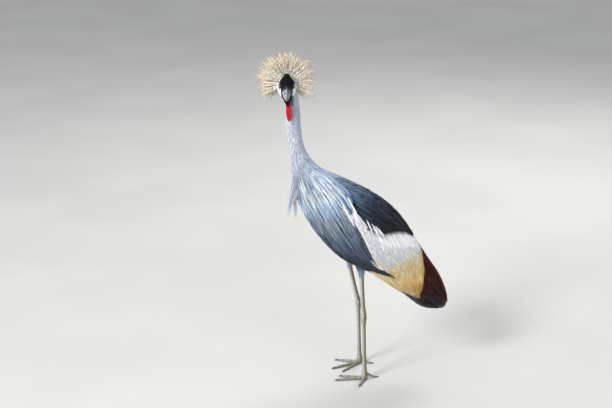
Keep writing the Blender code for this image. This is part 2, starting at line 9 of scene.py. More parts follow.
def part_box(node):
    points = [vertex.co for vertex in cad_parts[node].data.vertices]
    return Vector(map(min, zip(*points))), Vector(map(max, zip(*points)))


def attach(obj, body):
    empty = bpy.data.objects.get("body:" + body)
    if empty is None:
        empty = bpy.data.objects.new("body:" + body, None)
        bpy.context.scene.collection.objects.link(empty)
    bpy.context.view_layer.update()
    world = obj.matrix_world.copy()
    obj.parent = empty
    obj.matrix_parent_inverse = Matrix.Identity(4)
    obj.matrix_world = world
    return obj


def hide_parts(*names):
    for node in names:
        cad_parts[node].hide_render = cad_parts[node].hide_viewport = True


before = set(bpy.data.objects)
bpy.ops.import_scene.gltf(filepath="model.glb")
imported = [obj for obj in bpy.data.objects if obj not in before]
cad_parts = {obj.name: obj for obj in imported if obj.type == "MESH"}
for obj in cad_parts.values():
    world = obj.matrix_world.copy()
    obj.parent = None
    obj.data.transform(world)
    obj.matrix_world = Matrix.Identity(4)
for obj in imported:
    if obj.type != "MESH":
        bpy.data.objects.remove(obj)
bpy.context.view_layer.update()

rng = np.random.default_rng(20)
scene = bpy.context.scene
pi = math.pi

# =============================================================== body shape
# The same stations, borders and head frame as the solids: back point and
# belly point (y, z) of each station, half width, squareness, sideways shift.
NAPE = [(-0.2160, 0.9220, -0.2460, 0.9220, 0.0150, 2.0, 0.0090),
        (-0.2090, 0.9120, -0.2470, 0.9120, 0.0190, 2.0, 0.0060),
        (-0.2022, 0.9000, -0.2428, 0.9000, 0.0203, 2.0, 0.0025)]
STATIONS = [
    (-0.1990, 0.888, -0.2385, 0.884, 0.0205, 2.0),
    (-0.1945, 0.800, -0.2345, 0.800, 0.0200, 2.0),
    (-0.188, 0.752, -0.2310, 0.752, 0.0215, 2.0),
    (-0.172, 0.713, -0.2270, 0.708, 0.0280, 2.0),
    (-0.142, 0.677, -0.2220, 0.662, 0.0400, 2.0),
    (-0.105, 0.656, -0.2160, 0.615, 0.0560, 2.0),
    (-0.064, 0.636, -0.2040, 0.568, 0.0740, 2.0),
    (-0.022, 0.615, -0.1830, 0.522, 0.0900, 2.05),
    (0.022, 0.590, -0.1530, 0.474, 0.1010, 2.1),
    (0.063, 0.561, -0.1180, 0.430, 0.1060, 2.2),
    (0.097, 0.530, -0.0760, 0.391, 0.1060, 2.4),
    (0.123, 0.498, -0.0260, 0.364, 0.1020, 2.7),
    (0.142, 0.468, 0.0250, 0.338, 0.0970, 3.0),
    (0.160, 0.440, 0.0650, 0.310, 0.0910, 3.2),
    (0.180, 0.404, 0.0950, 0.287, 0.0830, 3.2),
    (0.202, 0.370, 0.1180, 0.268, 0.0740, 3.0),
    (0.224, 0.338, 0.1370, 0.250, 0.0640, 2.8),
    (0.243, 0.305, 0.1540, 0.234, 0.0530, 2.6),
    (0.257, 0.270, 0.1740, 0.218, 0.0410, 2.4),
    (0.2655, 0.236, 0.1980, 0.208, 0.0290, 2.2),
    (0.2665, 0.212, 0.2280, 0.203, 0.0150, 2.0),
]
BT = np.array(NAPE + [s + (0.0,) for s in STATIONS])
TRUNK_END = 14.0

MANTLE_EDGE = [(5.0, 30), (6.0, 36), (6.5, 44), (7.0, 53), (7.5, 63), (8.0, 73), (8.5, 78), (9.0, 80),
               (9.5, 75), (10.0, 67), (10.5, 52), (11.0, 38), (11.5, 28), (12.0, 20), (12.5, 16)]
WHITE_LOWER = [(6.0, 37), (6.5, 54), (7.0, 73), (7.5, 84), (8.0, 86), (8.5, 88), (9.0, 91), (9.5, 95),
               (10.0, 100), (10.5, 104.5), (11.0, 107.5), (11.5, 109.5), (12.0, 111), (12.5, 102),
               (13.0, 86), (13.5, 66), (13.7, 58)]
CHESTNUT_LOWER = [(12.2, 15), (12.5, 15), (13.0, 23), (13.5, 39), (14.0, 51), (14.5, 69), (15.0, 86),
                  (15.5, 102), (16.0, 115), (16.5, 124), (17.0, 128), (18.0, 130), (19.0, 120),
                  (20.0, 104), (20.5, 95)]

HEAD = np.array((0.020, -0.2375, 0.9290))
TURN, DIP = math.radians(-5.0), math.radians(12.5)
SKULL = np.array([
    (-0.0345, 0.0030, 0.0006, 0.0006),
    (-0.0300, 0.0030, 0.0100, 0.0105),
    (-0.0230, 0.0040, 0.0190, 0.0190),
    (-0.0130, 0.0045, 0.0255, 0.0262),
    (-0.0020, 0.0055, 0.0292, 0.0276),
    (0.0080, 0.0060, 0.0300, 0.0250),
    (0.0170, 0.0040, 0.0280, 0.0215),
    (0.0250, 0.0000, 0.0225, 0.0175),
    (0.0305, -0.0035, 0.0175, 0.0158),
    (0.0340, -0.0055, 0.0140, 0.0148),
])
FWD = np.array((math.cos(TURN) * math.cos(DIP), math.sin(TURN) * math.cos(DIP), -math.sin(DIP)))
LAT = np.array((-math.sin(TURN), math.cos(TURN), 0.0))
UPV = np.cross(FWD, LAT)
EYE_R = 0.0062
EYE_AT = (0.0125, 0.0176, 0.0030)
BILL_BASE, BILL_LENGTH = 0.0344, 0.060
CREST_RISE = math.radians(18.0)
CREST_REACH = 0.102
LEFT_FOOT, RIGHT_FOOT = np.array((0.067, -0.002, 0.0)), np.array((-0.049, -0.001, 0.0))
ANKLE_Z = 0.213


def on_head(h, l, v):
    h, l, v = np.broadcast_arrays(np.asarray(h, float), np.asarray(l, float), np.asarray(v, float))
    return HEAD + h[..., None] * FWD + l[..., None] * LAT + v[..., None] * UPV


def head_coords(p):
    q = p - HEAD
    return q @ FWD, q @ LAT, q @ UPV


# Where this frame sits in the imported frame, read off the left eye.
lo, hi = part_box("eye_left")
SHIFT = (np.array(lo) + np.array(hi)) / 2 - on_head(*EYE_AT)


# ------------------------------------------------------------ small helpers
def ease(x):
    x = np.clip(x, 0.0, 1.0)
    return x * x * (3 - 2 * x)


def unit(v):
    return v / np.maximum(np.linalg.norm(v, axis=-1, keepdims=True), 1e-12)


def table(tab, u):
    t = np.array(tab, float)
    return np.interp(u, t[:, 0], t[:, 1])


def catm(tab, u):
    n = len(tab) - 1
    u = np.clip(u, 0.0, n - 1e-6)
    i = u.astype(int)
    t = (u - i)[..., None]
    a, b, c, d = (tab[np.clip(i + k, 0, n)] for k in (-1, 0, 1, 2))
    return 0.5 * (2 * b + (c - a) * t + (2 * a - 5 * b + 4 * c - d) * t * t + (3 * b - a - 3 * c + d) * t ** 3)


def surf_deg(u, deg, off):
    """Point of the plumage outline at station u, signed degrees from the back line."""
    u, deg, off = np.broadcast_arrays(np.asarray(u, float), np.asarray(deg, float), np.asarray(off, float))
    r = catm(BT, u + 3.0)
    top = np.stack([r[..., 6], r[..., 0], r[..., 1]], -1)
    low = np.stack([r[..., 6], r[..., 2], r[..., 3]], -1)
    n = top - low
    a = np.linalg.norm(n, axis=-1) / 2
    n = unit(n)
    t = np.radians(np.abs(deg))
    s, k = np.sin(t), np.cos(t)
    e = np.where(k >= 0, 1.0, 2.0 / r[..., 5])
    x = np.maximum(s, 1e-9) ** e * (r[..., 4] + off) * (1.0 - 0.06 * k) * np.where(deg < 0, -1.0, 1.0)
    v = np.sign(k) * np.maximum(np.abs(k), 1e-9) ** e * (a + off)
    out = (top + low) / 2 + n * v[..., None]
    out[..., 0] += x
    return out


# Even spacing round each station: fraction f of the half girth, 0 on the
# back line and 1 on the belly line, negative on the right side.
GU = np.linspace(-3.0, 20.0, 461)
GD = np.linspace(0, 180, 241)
_p = surf_deg(GU[:, None], GD[None, :], 0.0)
_l = np.concatenate([np.zeros((len(GU), 1)), np.cumsum(np.linalg.norm(np.diff(_p, axis=1), axis=-1), axis=1)], 1)
GIRTH = _l[:, -1]
GF = np.linspace(0, 1, 161)
DEGT = np.stack([np.interp(GF, _l[i] / _l[i, -1], GD) for i in range(len(GU))])
FRT = _l / GIRTH[:, None]


def bilinear(tab, ug, vg, u, v):
    a = np.clip((u - ug[0]) / (ug[1] - ug[0]), 0, len(ug) - 1.0001)
    b = np.clip((v - vg[0]) / (vg[1] - vg[0]), 0, len(vg) - 1.0001)
    i, j = a.astype(int), b.astype(int)
    s, t = a - i, b - j
    return (tab[i, j] * (1 - s) * (1 - t) + tab[i + 1, j] * s * (1 - t)
            + tab[i, j + 1] * (1 - s) * t + tab[i + 1, j + 1] * s * t)


def deg_of(u, f):
    return bilinear(DEGT, GU, GF, u, np.abs(f))


def frac_of(u, deg):
    return bilinear(FRT, GU, GD, np.asarray(u, float), np.asarray(deg, float))


def girth(u):
    return np.interp(u, GU, GIRTH)


def surf(u, f, off):
    u, f, off = np.broadcast_arrays(np.asarray(u, float), np.asarray(f, float), np.asarray(off, float))
    f = np.where(f > 1, f - 2, np.where(f < -1, f + 2, f))
    d = deg_of(u, f)
    return surf_deg(u, np.where(f < 0, -d, d), off)


def surf_frame(u, f, sf=surf):
    hu, hf = 0.03, 0.006
    tu = (sf(u + hu, f, 0) - sf(u - hu, f, 0)) / (2 * hu)
    tf = (sf(u, f + hf, 0) - sf(u, f - hf, 0)) / (2 * hf)
    n = unit(np.cross(tf, tu))
    return tu, tf, n


def walk(u, f, direction, length, ns, off0, off1, bow=1.0, sf=surf, u_max=19.9):
    """Runs over the surface from (u, f) the way direction points; returns the
    points, normals and the (u, f) of each step."""
    u = np.array(u, float)
    f = np.array(f, float)
    P, N = [], []
    L = np.broadcast_to(np.asarray(length, float), u.shape)
    o0 = np.broadcast_to(np.asarray(off0, float), u.shape)
    o1 = np.broadcast_to(np.asarray(off1, float), u.shape)
    us, fs = [], []
    for k in range(ns + 1):
        t = k / ns
        P.append(sf(u, f, o0 + (o1 - o0) * t ** bow))
        tu, tf, n = surf_frame(u, f, sf)
        N.append(n)
        us.append(u.copy())
        fs.append(f.copy())
        d = direction(u, f, P[-1], t, tu, tf)
        a, b, c = (tu * tu).sum(-1), (tu * tf).sum(-1), (tf * tf).sum(-1)
        p, q = (tu * d).sum(-1), (tf * d).sum(-1)
        det = a * c - b * b + 1e-12
        du, df = (c * p - b * q) / det, (a * q - b * p) / det
        v = np.linalg.norm(tu * du[:, None] + tf * df[:, None], axis=-1) + 1e-9
        u = np.minimum(u + du / v * L / ns, u_max)
        f = f + df / v * L / ns
    return np.stack(P, 1), np.stack(N, 1), np.stack(us, 1), np.stack(fs, 1)


# ------------------------------------------------------------ mesh building
def put_mesh(name, verts, faces, mat, tint=None, floats=None, uv=None, smooth=True):
    """Object from numpy arrays; faces is a list of (n, k) index arrays."""
    me = bpy.data.meshes.new(name)
    nv = len(verts)
    me.vertices.add(nv)
    me.vertices.foreach_set("co", np.ascontiguousarray(verts + SHIFT, dtype=np.float32).ravel())
    loops = np.concatenate([f.ravel() for f in faces]).astype(np.int32)
    sizes = np.concatenate([np.full(len(f), f.shape[1]) for f in faces])
    starts = np.concatenate([[0], np.cumsum(sizes)[:-1]]).astype(np.int32)
    me.loops.add(len(loops))
    me.loops.foreach_set("vertex_index", loops)
    me.polygons.add(len(sizes))
    me.polygons.foreach_set("loop_start", starts)
    me.polygons.foreach_set("use_smooth", np.full(len(sizes), smooth, dtype=bool))
    me.update(calc_edges=True)
    if tint is not None:
        a = me.color_attributes.new("tint", "FLOAT_COLOR", "POINT")
        rgba = np.ones((nv, 4), np.float32)
        rgba[:, :3] = tint
        a.data.foreach_set("color", rgba.ravel())
    for key, val in (floats or {}).items():
        a = me.attributes.new(key, "FLOAT", "POINT")
        a.data.foreach_set("value", np.ascontiguousarray(val, dtype=np.float32).ravel())
    if uv is not None:
        layer = me.uv_layers.new(name="OFBake")
        layer.data.foreach_set("uv", np.ascontiguousarray(uv[loops], dtype=np.float32).ravel())
    me.validate()
    ob = bpy.data.objects.new(name, me)
    scene.collection.objects.link(ob)
    if mat is not None:
        me.materials.append(mat)
    return ob


def vane_arrays(P, N, W, H, m=1, camber=0.25, root_uv=None, c0=None, c1=None, rnd=None, blade=False):
    """Closed thin vanes along the spines P with normals N.

    W is the half width and H the half thickness at each ring. A vane has m
    strips on each side of its shaft, above and below; a blade has two sides
    and a flat back."""
    F, K, _ = P.shape
    T = unit(np.gradient(P, axis=1))
    B = unit(np.cross(T, N))
    Nn = unit(np.cross(B, T))
    if blade:
        A = np.array([-1.0, 0.0, 1.0])
        thick = np.array([0.0, 1.6, 0.0])
    else:
        A = np.concatenate([np.linspace(-1, 1, 2 * m + 1), np.linspace(1, -1, 2 * m + 1)[1:-1]])
        up = np.concatenate([np.ones(2 * m + 1), -np.ones(2 * m - 1)])
        thick = up * (1 - np.abs(A) ** 2)
    R = len(A)
    V = (P[:, :, None, :] + B[:, :, None, :] * (A[None, None, :] * W[:, :, None])[..., None]
         + Nn[:, :, None, :] * (thick[None, None, :] * H[:, :, None]
                                - camber * W[:, :, None] * (A ** 2)[None, None, :])[..., None])
    base = (np.arange(F) * K * R)[:, None, None]
    k = np.arange(K - 1)[None, :, None]
    r = np.arange(R)[None, None, :]
    r2 = (r + 1) % R
    q = np.stack([base + k * R + r, base + k * R + r2, base + (k + 1) * R + r2, base + (k + 1) * R + r], -1).reshape(-1, 4)
    caps = [(np.arange(F) * K * R)[:, None] + np.arange(R)[None, ::-1],
            (np.arange(F) * K * R)[:, None] + (K - 1) * R + np.arange(R)[None, :]]
    X = V.reshape(-1, 3)
    a, b, c, d = (X[q[:, i]] for i in range(4))
    if (np.einsum("ij,ij->i", a - X[0], np.cross(b - X[0], c - X[0])).sum()
            + np.einsum("ij,ij->i", a - X[0], np.cross(c - X[0], d - X[0])).sum()) < 0:
        q = q[:, ::-1]
        caps = [x[:, ::-1] for x in caps]
    t = np.broadcast_to(np.linspace(0, 1, K)[None, :, None], (F, K, R))
    AA = np.broadcast_to(A[None, None, :], (F, K, R))
    rn = np.broadcast_to(rnd[:, None, None], (F, K, R))
    uv = root_uv[:, None, None, :] + 0.003 * np.stack([AA * 0.5, t - 0.5], -1)
    tint = c0[:, None, None, :] * (1 - t[..., None]) + c1[:, None, None, :] * t[..., None]
    return {"V": X, "q": q, "caps": caps, "fw": AA.reshape(-1), "ft": t.reshape(-1), "rnd": rn.reshape(-1),
            "uv": uv.reshape(-1, 2), "tint": tint.reshape(-1, 3), "tris": F * ((K - 1) * R * 2 + 2 * (R - 2))}


def coat(name, parts, mat, body="root", replaces=()):
    """One piece out of several sets of vanes."""
    V, quads, ngons, tint, uv = [], [], {}, [], []
    fl = {"fw": [], "ft": [], "rnd": []}
    n = 0
    for d in parts:
        V.append(d["V"])
        quads.append(d["q"] + n)
        for c in d["caps"]:
            ngons.setdefault(c.shape[1], []).append(c + n)
        tint.append(d["tint"])
        uv.append(d["uv"])
        for k in fl:
            fl[k].append(d[k])
        n += len(d["V"])
    faces = [np.concatenate(quads)] + [np.concatenate(v) for v in ngons.values()]
    ob = put_mesh(name, np.concatenate(V), faces, mat, np.concatenate(tint),
                  {k: np.concatenate(v) for k, v in fl.items()}, np.concatenate(uv))
    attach(ob, body)
    if replaces:
        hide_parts(*replaces)
    print("PIECE", name, "tris", sum(d["tris"] for d in parts))
    return ob


def body_uv(u, f):
    """The skin's own unwrap: down the body and round it."""
    return np.stack([0.5 + 0.46 * np.asarray(f), 0.985 - 0.97 * (np.asarray(u) + 3.0) / 23.2], -1)


def srgb(r, g, b):
    c = np.array((r, g, b), float) / 255.0
    return np.where(c <= 0.04045, c / 12.92, ((c + 0.055) / 1.055) ** 2.4)


def mix(a, b, t):
    t = np.asarray(t)[..., None]
    return a * (1 - t) + b * t


def scatter(n, u0, u1, f0, f1, weight=None, sf=surf):
    """Even scatter of n roots over the patch, thinned by weight(u, f)."""
    out = np.zeros((0, 2))
    while len(out) < n:
        m = int(n * 3)
        u = rng.uniform(u0, u1, m)
        f = rng.uniform(f0, f1, m)
        tu, tf, _ = surf_frame(u, f, sf)
        w = np.linalg.norm(np.cross(tu, tf), axis=-1)
        if weight is not None:
            w = w * weight(u, f)
        keep = rng.random(m) * np.percentile(w, 99.5) < w
        out = np.concatenate([out, np.stack([u[keep], f[keep]], 1)])
    return out[:n]


# =============================================================== materials
class Mat:
    def __init__(self, name, **sockets):
        self.m = bpy.data.materials.new(name)
        self.m.use_nodes = True
        self.nt = self.m.node_tree
        self.nt.nodes.clear()
        out = self.nt.nodes.new("ShaderNodeOutputMaterial")
        self.b = self.nt.nodes.new("ShaderNodeBsdfPrincipled")
        self.nt.links.new(self.b.outputs[0], out.inputs[0])
        for k, v in sockets.items():
            self.b.inputs[k.replace("_", " ")].default_value = v

    def put(self, socket, v):
        if isinstance(v, bpy.types.NodeSocket):
            self.nt.links.new(v, socket)
        elif v is not None:
            socket.default_value = v

    def add(self, kind, ins=(), **props):
        n = self.nt.nodes.new(kind)
        for k, v in props.items():
            setattr(n, k, v)
        for k, v in dict(ins).items():
            self.put(n.inputs[k], v)
        return n

    def math(self, op, *a):
        return self.add("ShaderNodeMath", enumerate(a), operation=op).outputs[0]

    def step(self, x, a, b, lo=0.0, hi=1.0):
        n = self.add("ShaderNodeMapRange", {"Value": x, "From Min": a, "From Max": b, "To Min": lo, "To Max": hi},
                     interpolation_type="SMOOTHSTEP")
        return n.outputs[0]

    def attr(self, name, out="Fac"):
        return self.add("ShaderNodeAttribute", attribute_name=name).outputs[out]

    def vec(self, x, y, z):
        return self.add("ShaderNodeCombineXYZ", {0: x, 1: y, 2: z}).outputs[0]

    def noise(self, vec, scale, detail=2.0, rough=0.5, distort=0.0):
        n = self.add("ShaderNodeTexNoise", {"Scale": scale, "Detail": detail, "Roughness": rough, "Distortion": distort})
        if vec is not None:
            self.put(n.inputs["Vector"], vec)
        return n.outputs["Fac"]

    def scale(self, colour, gain):
        n = self.add("ShaderNodeVectorMath", operation="SCALE")
        self.put(n.inputs[0], colour)
        self.put(n.inputs["Scale"], gain)
        return n.outputs[0]

    def mixc(self, fac, a, b, blend="MIX"):
        n = self.add("ShaderNodeMix", data_type="RGBA", blend_type=blend)
        self.put(n.inputs[0], fac)
        self.put(n.inputs[6], a)
        self.put(n.inputs[7], b)
        return n.outputs[2]

    def bump(self, height, strength, distance):
        n = self.add("ShaderNodeBump", {"Strength": strength, "Distance": distance, "Height": height})
        self.put(self.b.inputs["Normal"], n.outputs[0])

    def gain(self, *g):
        out = g[0]
        for k in g[1:]:
            out = self.math("MULTIPLY", out, k)
        return out


def feather_mat(name, kx=1.5, ky=26.0, slant=-9.0, streak=0.2, shaft=1.0, edge=1.0, tip=1.0, root=0.75,
                rough=0.62, vary=0.12, bump=0.35, spec=0.35, sheen=0.0):
    """Barbs run from the shaft at a slant: noise drawn out along them."""
    m = Mat(name, Roughness=rough, Specular_IOR_Level=spec, Sheen_Weight=sheen, Sheen_Roughness=0.4)
    fw, ft, rnd = m.attr("fw"), m.attr("ft"), m.attr("rnd")
    aw = m.math("ABSOLUTE", fw)
    x = m.math("MULTIPLY_ADD", aw, kx, m.math("MULTIPLY", rnd, 57.0))
    y = m.math("MULTIPLY_ADD", aw, slant, m.math("MULTIPLY", ft, ky))
    barbs = m.noise(m.vec(x, y, m.math("MULTIPLY", fw, 0.7)), 1.0, 3.0, 0.6)
    g = m.gain(m.step(barbs, 0.3, 0.7, 1 - streak, 1 + streak),
               m.step(ft, 0.0, 0.45, root, 1.0),
               m.step(ft, 0.6, 1.0, 1.0, tip),
               m.step(aw, 0.35, 0.95, 1.0, edge),
               m.step(aw, 0.02, 0.14, shaft, 1.0),
               m.step(rnd, 0.0, 1.0, 1 - vary, 1 + vary))
    col = m.scale(m.attr("tint", "Color"), g)
    m.put(m.b.inputs["Base Color"], col)
    m.put(m.b.inputs["Roughness"], m.step(barbs, 0.2, 0.8, rough - 0.08, rough + 0.1))
    m.bump(barbs, bump, 0.0006)
    return m.m


M_NECK = feather_mat("neck_feather", kx=7.0, ky=3.0, slant=0.0, streak=0.12, edge=0.96, root=0.90, vary=0.05, rough=0.6, bump=0.25)
M_PLUME = feather_mat("grey_plume", kx=8.0, ky=3.5, slant=-2.0, streak=0.30, shaft=0.72, edge=1.6, tip=1.15, root=0.55,
                      vary=0.25, rough=0.55, spec=0.35)
M_MANTLE = feather_mat("mantle_feather", kx=3.0, ky=20.0, slant=-9.0, streak=0.22, shaft=0.7, edge=1.15, tip=0.95,
                       root=0.7, vary=0.16, rough=0.46, spec=0.36)
M_WHITE = feather_mat("white_covert", kx=6.0, ky=8.0, slant=-7.0, streak=0.05, shaft=0.97, edge=1.02, root=0.96, vary=0.03,
                      rough=0.6, bump=0.2)
M_GOLD = feather_mat("gold_plume", kx=5.0, ky=4.0, slant=-2.0, streak=0.16, shaft=0.9, edge=1.05, root=0.9, vary=0.14,
                     rough=0.5, spec=0.4)
M_CHEST = feather_mat("chestnut_vane", kx=1.2, ky=120.0, slant=-14.0, streak=0.30, shaft=0.35, edge=1.12, tip=0.9,
                      root=0.8, vary=0.16, rough=0.48, spec=0.30)
M_BLACK = feather_mat("black_vane", kx=1.2, ky=110.0, slant=-13.0, streak=0.25, shaft=0.6, edge=1.3, root=0.9, vary=0.15,
                      rough=0.36, spec=0.55)
M_VELVET = feather_mat("velvet_feather", kx=4.0, ky=4.0, slant=-1.0, streak=0.2, root=0.8, vary=0.15, rough=0.72, spec=0.2)
M_CREST = feather_mat("crest_bristle", kx=2.0, ky=30.0, slant=6.0, streak=0.12, edge=1.0, root=1.05, vary=0.08,
                      rough=0.48, spec=0.4)


def skin_mat():
    m = Mat("bird_skin", Roughness=0.6, Specular_IOR_Level=0.4)
    pos = m.add("ShaderNodeTexCoord").outputs["Object"]
    leg, bare = m.attr("leg"), m.attr("bare")
    mottle = m.noise(pos, 190.0, 4.0, 0.6)
    fine = m.noise(pos, 900.0, 2.0, 0.5)
    net = m.add("ShaderNodeTexVoronoi", {"Vector": pos, "Scale": 560.0}, feature="DISTANCE_TO_EDGE").outputs["Distance"]
    scales = m.step(net, 0.02, 0.22)
    warm = m.noise(pos, 55.0, 3.0, 0.6)
    col = m.scale(m.attr("tint", "Color"), m.step(mottle, 0.3, 0.7, 0.84, 1.14))
    col = m.mixc(m.math("MULTIPLY", leg, m.step(scales, 0.0, 1.0, 0.30, 0.0)), col, (0.06, 0.055, 0.045, 1))
    col = m.mixc(m.math("MULTIPLY", leg, m.step(warm, 0.45, 0.65, 0.0, 0.28)), col, (0.22, 0.17, 0.10, 1))
    m.put(m.b.inputs["Base Color"], col)
    m.put(m.b.inputs["Roughness"], m.step(mottle, 0.3, 0.7, 0.46, 0.70))
    h = m.math("ADD", m.math("MULTIPLY", m.math("MULTIPLY", scales, leg), 1.0), m.math("MULTIPLY", fine, 0.5))
    m.bump(h, 0.5, 0.0005)
    return m.m


def horn_mat(name, rough=0.34, streak=0.25, scale=120.0, spec=0.5, coat_w=0.0):
    m = Mat(name, Roughness=rough, Specular_IOR_Level=spec, Coat_Weight=coat_w, Coat_Roughness=0.15)
    pos = m.add("ShaderNodeTexCoord").outputs["Object"]
    sep = m.add("ShaderNodeSeparateXYZ", {0: pos})
    vec = m.vec(m.math("MULTIPLY", sep.outputs[0], 0.25), sep.outputs[1], sep.outputs[2])
    n = m.noise(vec, scale * 4, 4.0, 0.6)
    big = m.noise(pos, scale * 0.6, 2.0, 0.5)
    g = m.gain(m.step(n, 0.3, 0.7, 1 - streak, 1 + streak), m.step(big, 0.3, 0.7, 0.86, 1.12))
    m.put(m.b.inputs["Base Color"], m.scale(m.attr("tint", "Color"), g))
    m.put(m.b.inputs["Roughness"], m.step(n, 0.3, 0.7, rough - 0.07, rough + 0.12))
    m.bump(n, 0.25, 0.0003)
    return m.m


def claw_mat():
    m = Mat("claw_horn", Roughness=0.4, Specular_IOR_Level=0.5)
    pos = m.add("ShaderNodeTexCoord").outputs["Object"]
    n = m.noise(pos, 420.0, 3.0, 0.6)
    col = m.mixc(m.step(n, 0.35, 0.65), (0.018, 0.017, 0.016, 1), (0.060, 0.055, 0.047, 1))
    m.put(m.b.inputs["Base Color"], col)
    m.put(m.b.inputs["Roughness"], m.step(n, 0.3, 0.7, 0.32, 0.5))
    m.bump(n, 0.3, 0.0003)
    return m.m


def wattle_mat():
    m = Mat("wattle_skin", Roughness=0.45, Specular_IOR_Level=0.45, Subsurface_Weight=0.08, Subsurface_Scale=0.003)
    m.b.inputs["Subsurface Radius"].default_value = (1.0, 0.25, 0.15)
    pos = m.add("ShaderNodeTexCoord").outputs["Object"]
    n = m.noise(pos, 320.0, 4.0, 0.6)
    cells = m.add("ShaderNodeTexVoronoi", {"Vector": pos, "Scale": 620.0}).outputs["Distance"]
    col = m.scale(m.attr("tint", "Color"), m.step(n, 0.3, 0.7, 0.82, 1.12))
    m.put(m.b.inputs["Base Color"], col)
    m.put(m.b.inputs["Roughness"], m.step(n, 0.3, 0.7, 0.36, 0.55))
    m.bump(m.math("ADD", n, m.math("MULTIPLY", cells, 0.8)), 0.5, 0.0006)
    return m.m


def eye_mat():
    m = Mat("eye_gloss", Roughness=0.06, Specular_IOR_Level=0.6, Coat_Weight=1.0, Coat_Roughness=0.02)
    pos = m.add("ShaderNodeTexCoord").outputs["Object"]
    n = m.noise(pos, 1500.0, 3.0, 0.6)
    m.put(m.b.inputs["Base Color"], m.scale(m.attr("tint", "Color"), m.step(n, 0.3, 0.7, 0.85, 1.1)))
    return m.m


# ================================================================= markings
NECK_C, PALE_C = srgb(222, 226, 234), srgb(230, 238, 248)
SHOULDER_C, FLANK_C, DEEP_C = srgb(182, 191, 206), srgb(76, 88, 106), srgb(34, 43, 60)
MANTLE_FRONT, MANTLE_C, MANTLE_DARK = srgb(94, 128, 153), srgb(35, 54, 79), srgb(19, 23, 33)
WHITE_C, CREAM_C, GOLD_C = srgb(249, 251, 255), srgb(251, 241, 204), srgb(249, 213, 116)
CHEST_C, CHEST_RED, CHEST_TAN = srgb(70, 28, 19), srgb(150, 62, 32), srgb(168, 108, 54)
BLACK_C = srgb(26, 29, 44)
THIGH_C = srgb(164, 177, 199)


def f_at(tab, u, extra=0.0):
    return frac_of(u, np.clip(table(tab, u) + extra, 0, 180))


def wave(u, f, k, seed):
    r = np.random.default_rng(seed)
    out = 0
    for i in range(5):
        a, b, c = r.uniform(0.6, 1.5) * k, r.uniform(-1, 1) * 9.0 * k, r.uniform(0, 2 * pi)
        out = out + np.sin(a * u * 1.7 + b * f + c)
    return out / 5.0


def grain(label, u, seed, k0, k1, drift=0.4, n=9):
    """Long streaks: quick across the lie, slow along it, from -1 to 1."""
    r = np.random.default_rng(seed)
    out = 0.0
    for i in range(n):
        k = k0 * (k1 / k0) ** (i / (n - 1))
        out = out + r.uniform(0.7, 1.0) * np.sin(2 * pi * k * label + r.uniform(-1, 1) * drift * 2 * u + r.uniform(0, 2 * pi))
    return np.tanh(1.5 * out / math.sqrt(n))


def grey(u, f):
    """Neck, breast and flank: silver above, slate blue below."""
    a = np.abs(f)
    s = ease((u - 3.0) / 3.5)
    c = mix(np.broadcast_to(NECK_C, u.shape + (3,)), SHOULDER_C, s)
    s = ease((u - 5.6 + 1.6 * (a - 0.55)) / 3.2)
    c = mix(c, FLANK_C, s)
    s = ease((u - 6.6) / 4.0) * ease((a - 0.50) / 0.4)
    c = mix(c, DEEP_C * 1.25, s * 0.75)
    high = ease((u - 5.2) / 1.3) * ease((0.42 - a) / 0.16)
    c = mix(c, srgb(106, 121, 142), high * 0.85)
    near = deg_of(u, a) - table(MANTLE_EDGE, u)
    slate = ease((u - 4.3) / 1.3) * ease((7.7 - u) / 0.5) * (1 - ease((near - 1.0) / 15.0))
    c = mix(c, srgb(80, 94, 115), slate * 0.9)
    c = c * mix(np.broadcast_to((1.01, 1.05, 1.10), c.shape), (0.90, 1.02, 1.17), ease((u - 1.5) / 3.0))
    c = c * mix(np.broadcast_to((1.0, 1.0, 1.0), c.shape), (0.82, 0.99, 1.07), ease((u - 5.8) / 2.0))
    # painted shade: darker at the foot of the neck on its sides and towards the belly line of the breast and flank; the
    # body is also darkened towards the rear and lightened a little about station 6.6
    shade = (1 - 0.46 * np.exp(-((u - 4.1) / 0.95) ** 2) * ease((a - 0.38) / 0.25)) * (1 - 0.44 * ease((u - 6.6) / 2.2))
    shade = shade * (1 - 0.38 * ease((u - 4.8) / 1.5) * ease((a - 0.66) / 0.10)) * (1 + 0.14 * np.exp(-((u - 6.6) / 1.1) ** 2))
    return np.minimum(c * shade[..., None], 0.94)


def paint(u, f):
    """One set of markings for the skin and the coat."""
    a = np.abs(f)
    c = grey(u, f)
    fm, fw_lo = f_at(MANTLE_EDGE, u), f_at(WHITE_LOWER, u)
    on = ease((u - 4.7) / 1.6) * (a < fm)
    c = mix(c, mantle_colour(u, f), on)
    c = mix(c, np.broadcast_to(WHITE_C, c.shape), ((u > 6.0) & (a >= fm) & (a < fw_lo)) * 1.0)
    fc = f_at(CHESTNUT_LOWER, u)
    c = mix(c, np.broadcast_to(CHEST_C, c.shape), ((u > 12.2) & (a < fc)) * 1.0)
    c = mix(c, np.broadcast_to(GOLD_C, c.shape), ((u > 12.4) & (a >= fc) & (a < 0.83)) * 1.0)
    return mix(c, np.broadcast_to(srgb(70, 78, 92), c.shape), ((u > 12.4) & (a >= 0.83)) * 1.0)


def mantle_colour(u, f):
    a = np.abs(f)
    c = mix(np.broadcast_to(SHOULDER_C * 0.8, u.shape + (3,)), MANTLE_FRONT, ease((u - 4.6) / 1.6))
    c = mix(c, MANTLE_C, ease((u - 6.0) / 1.9))
    return mix(c, MANTLE_DARK, ease((u - 7.6 + 1.0 * a) / 2.6))


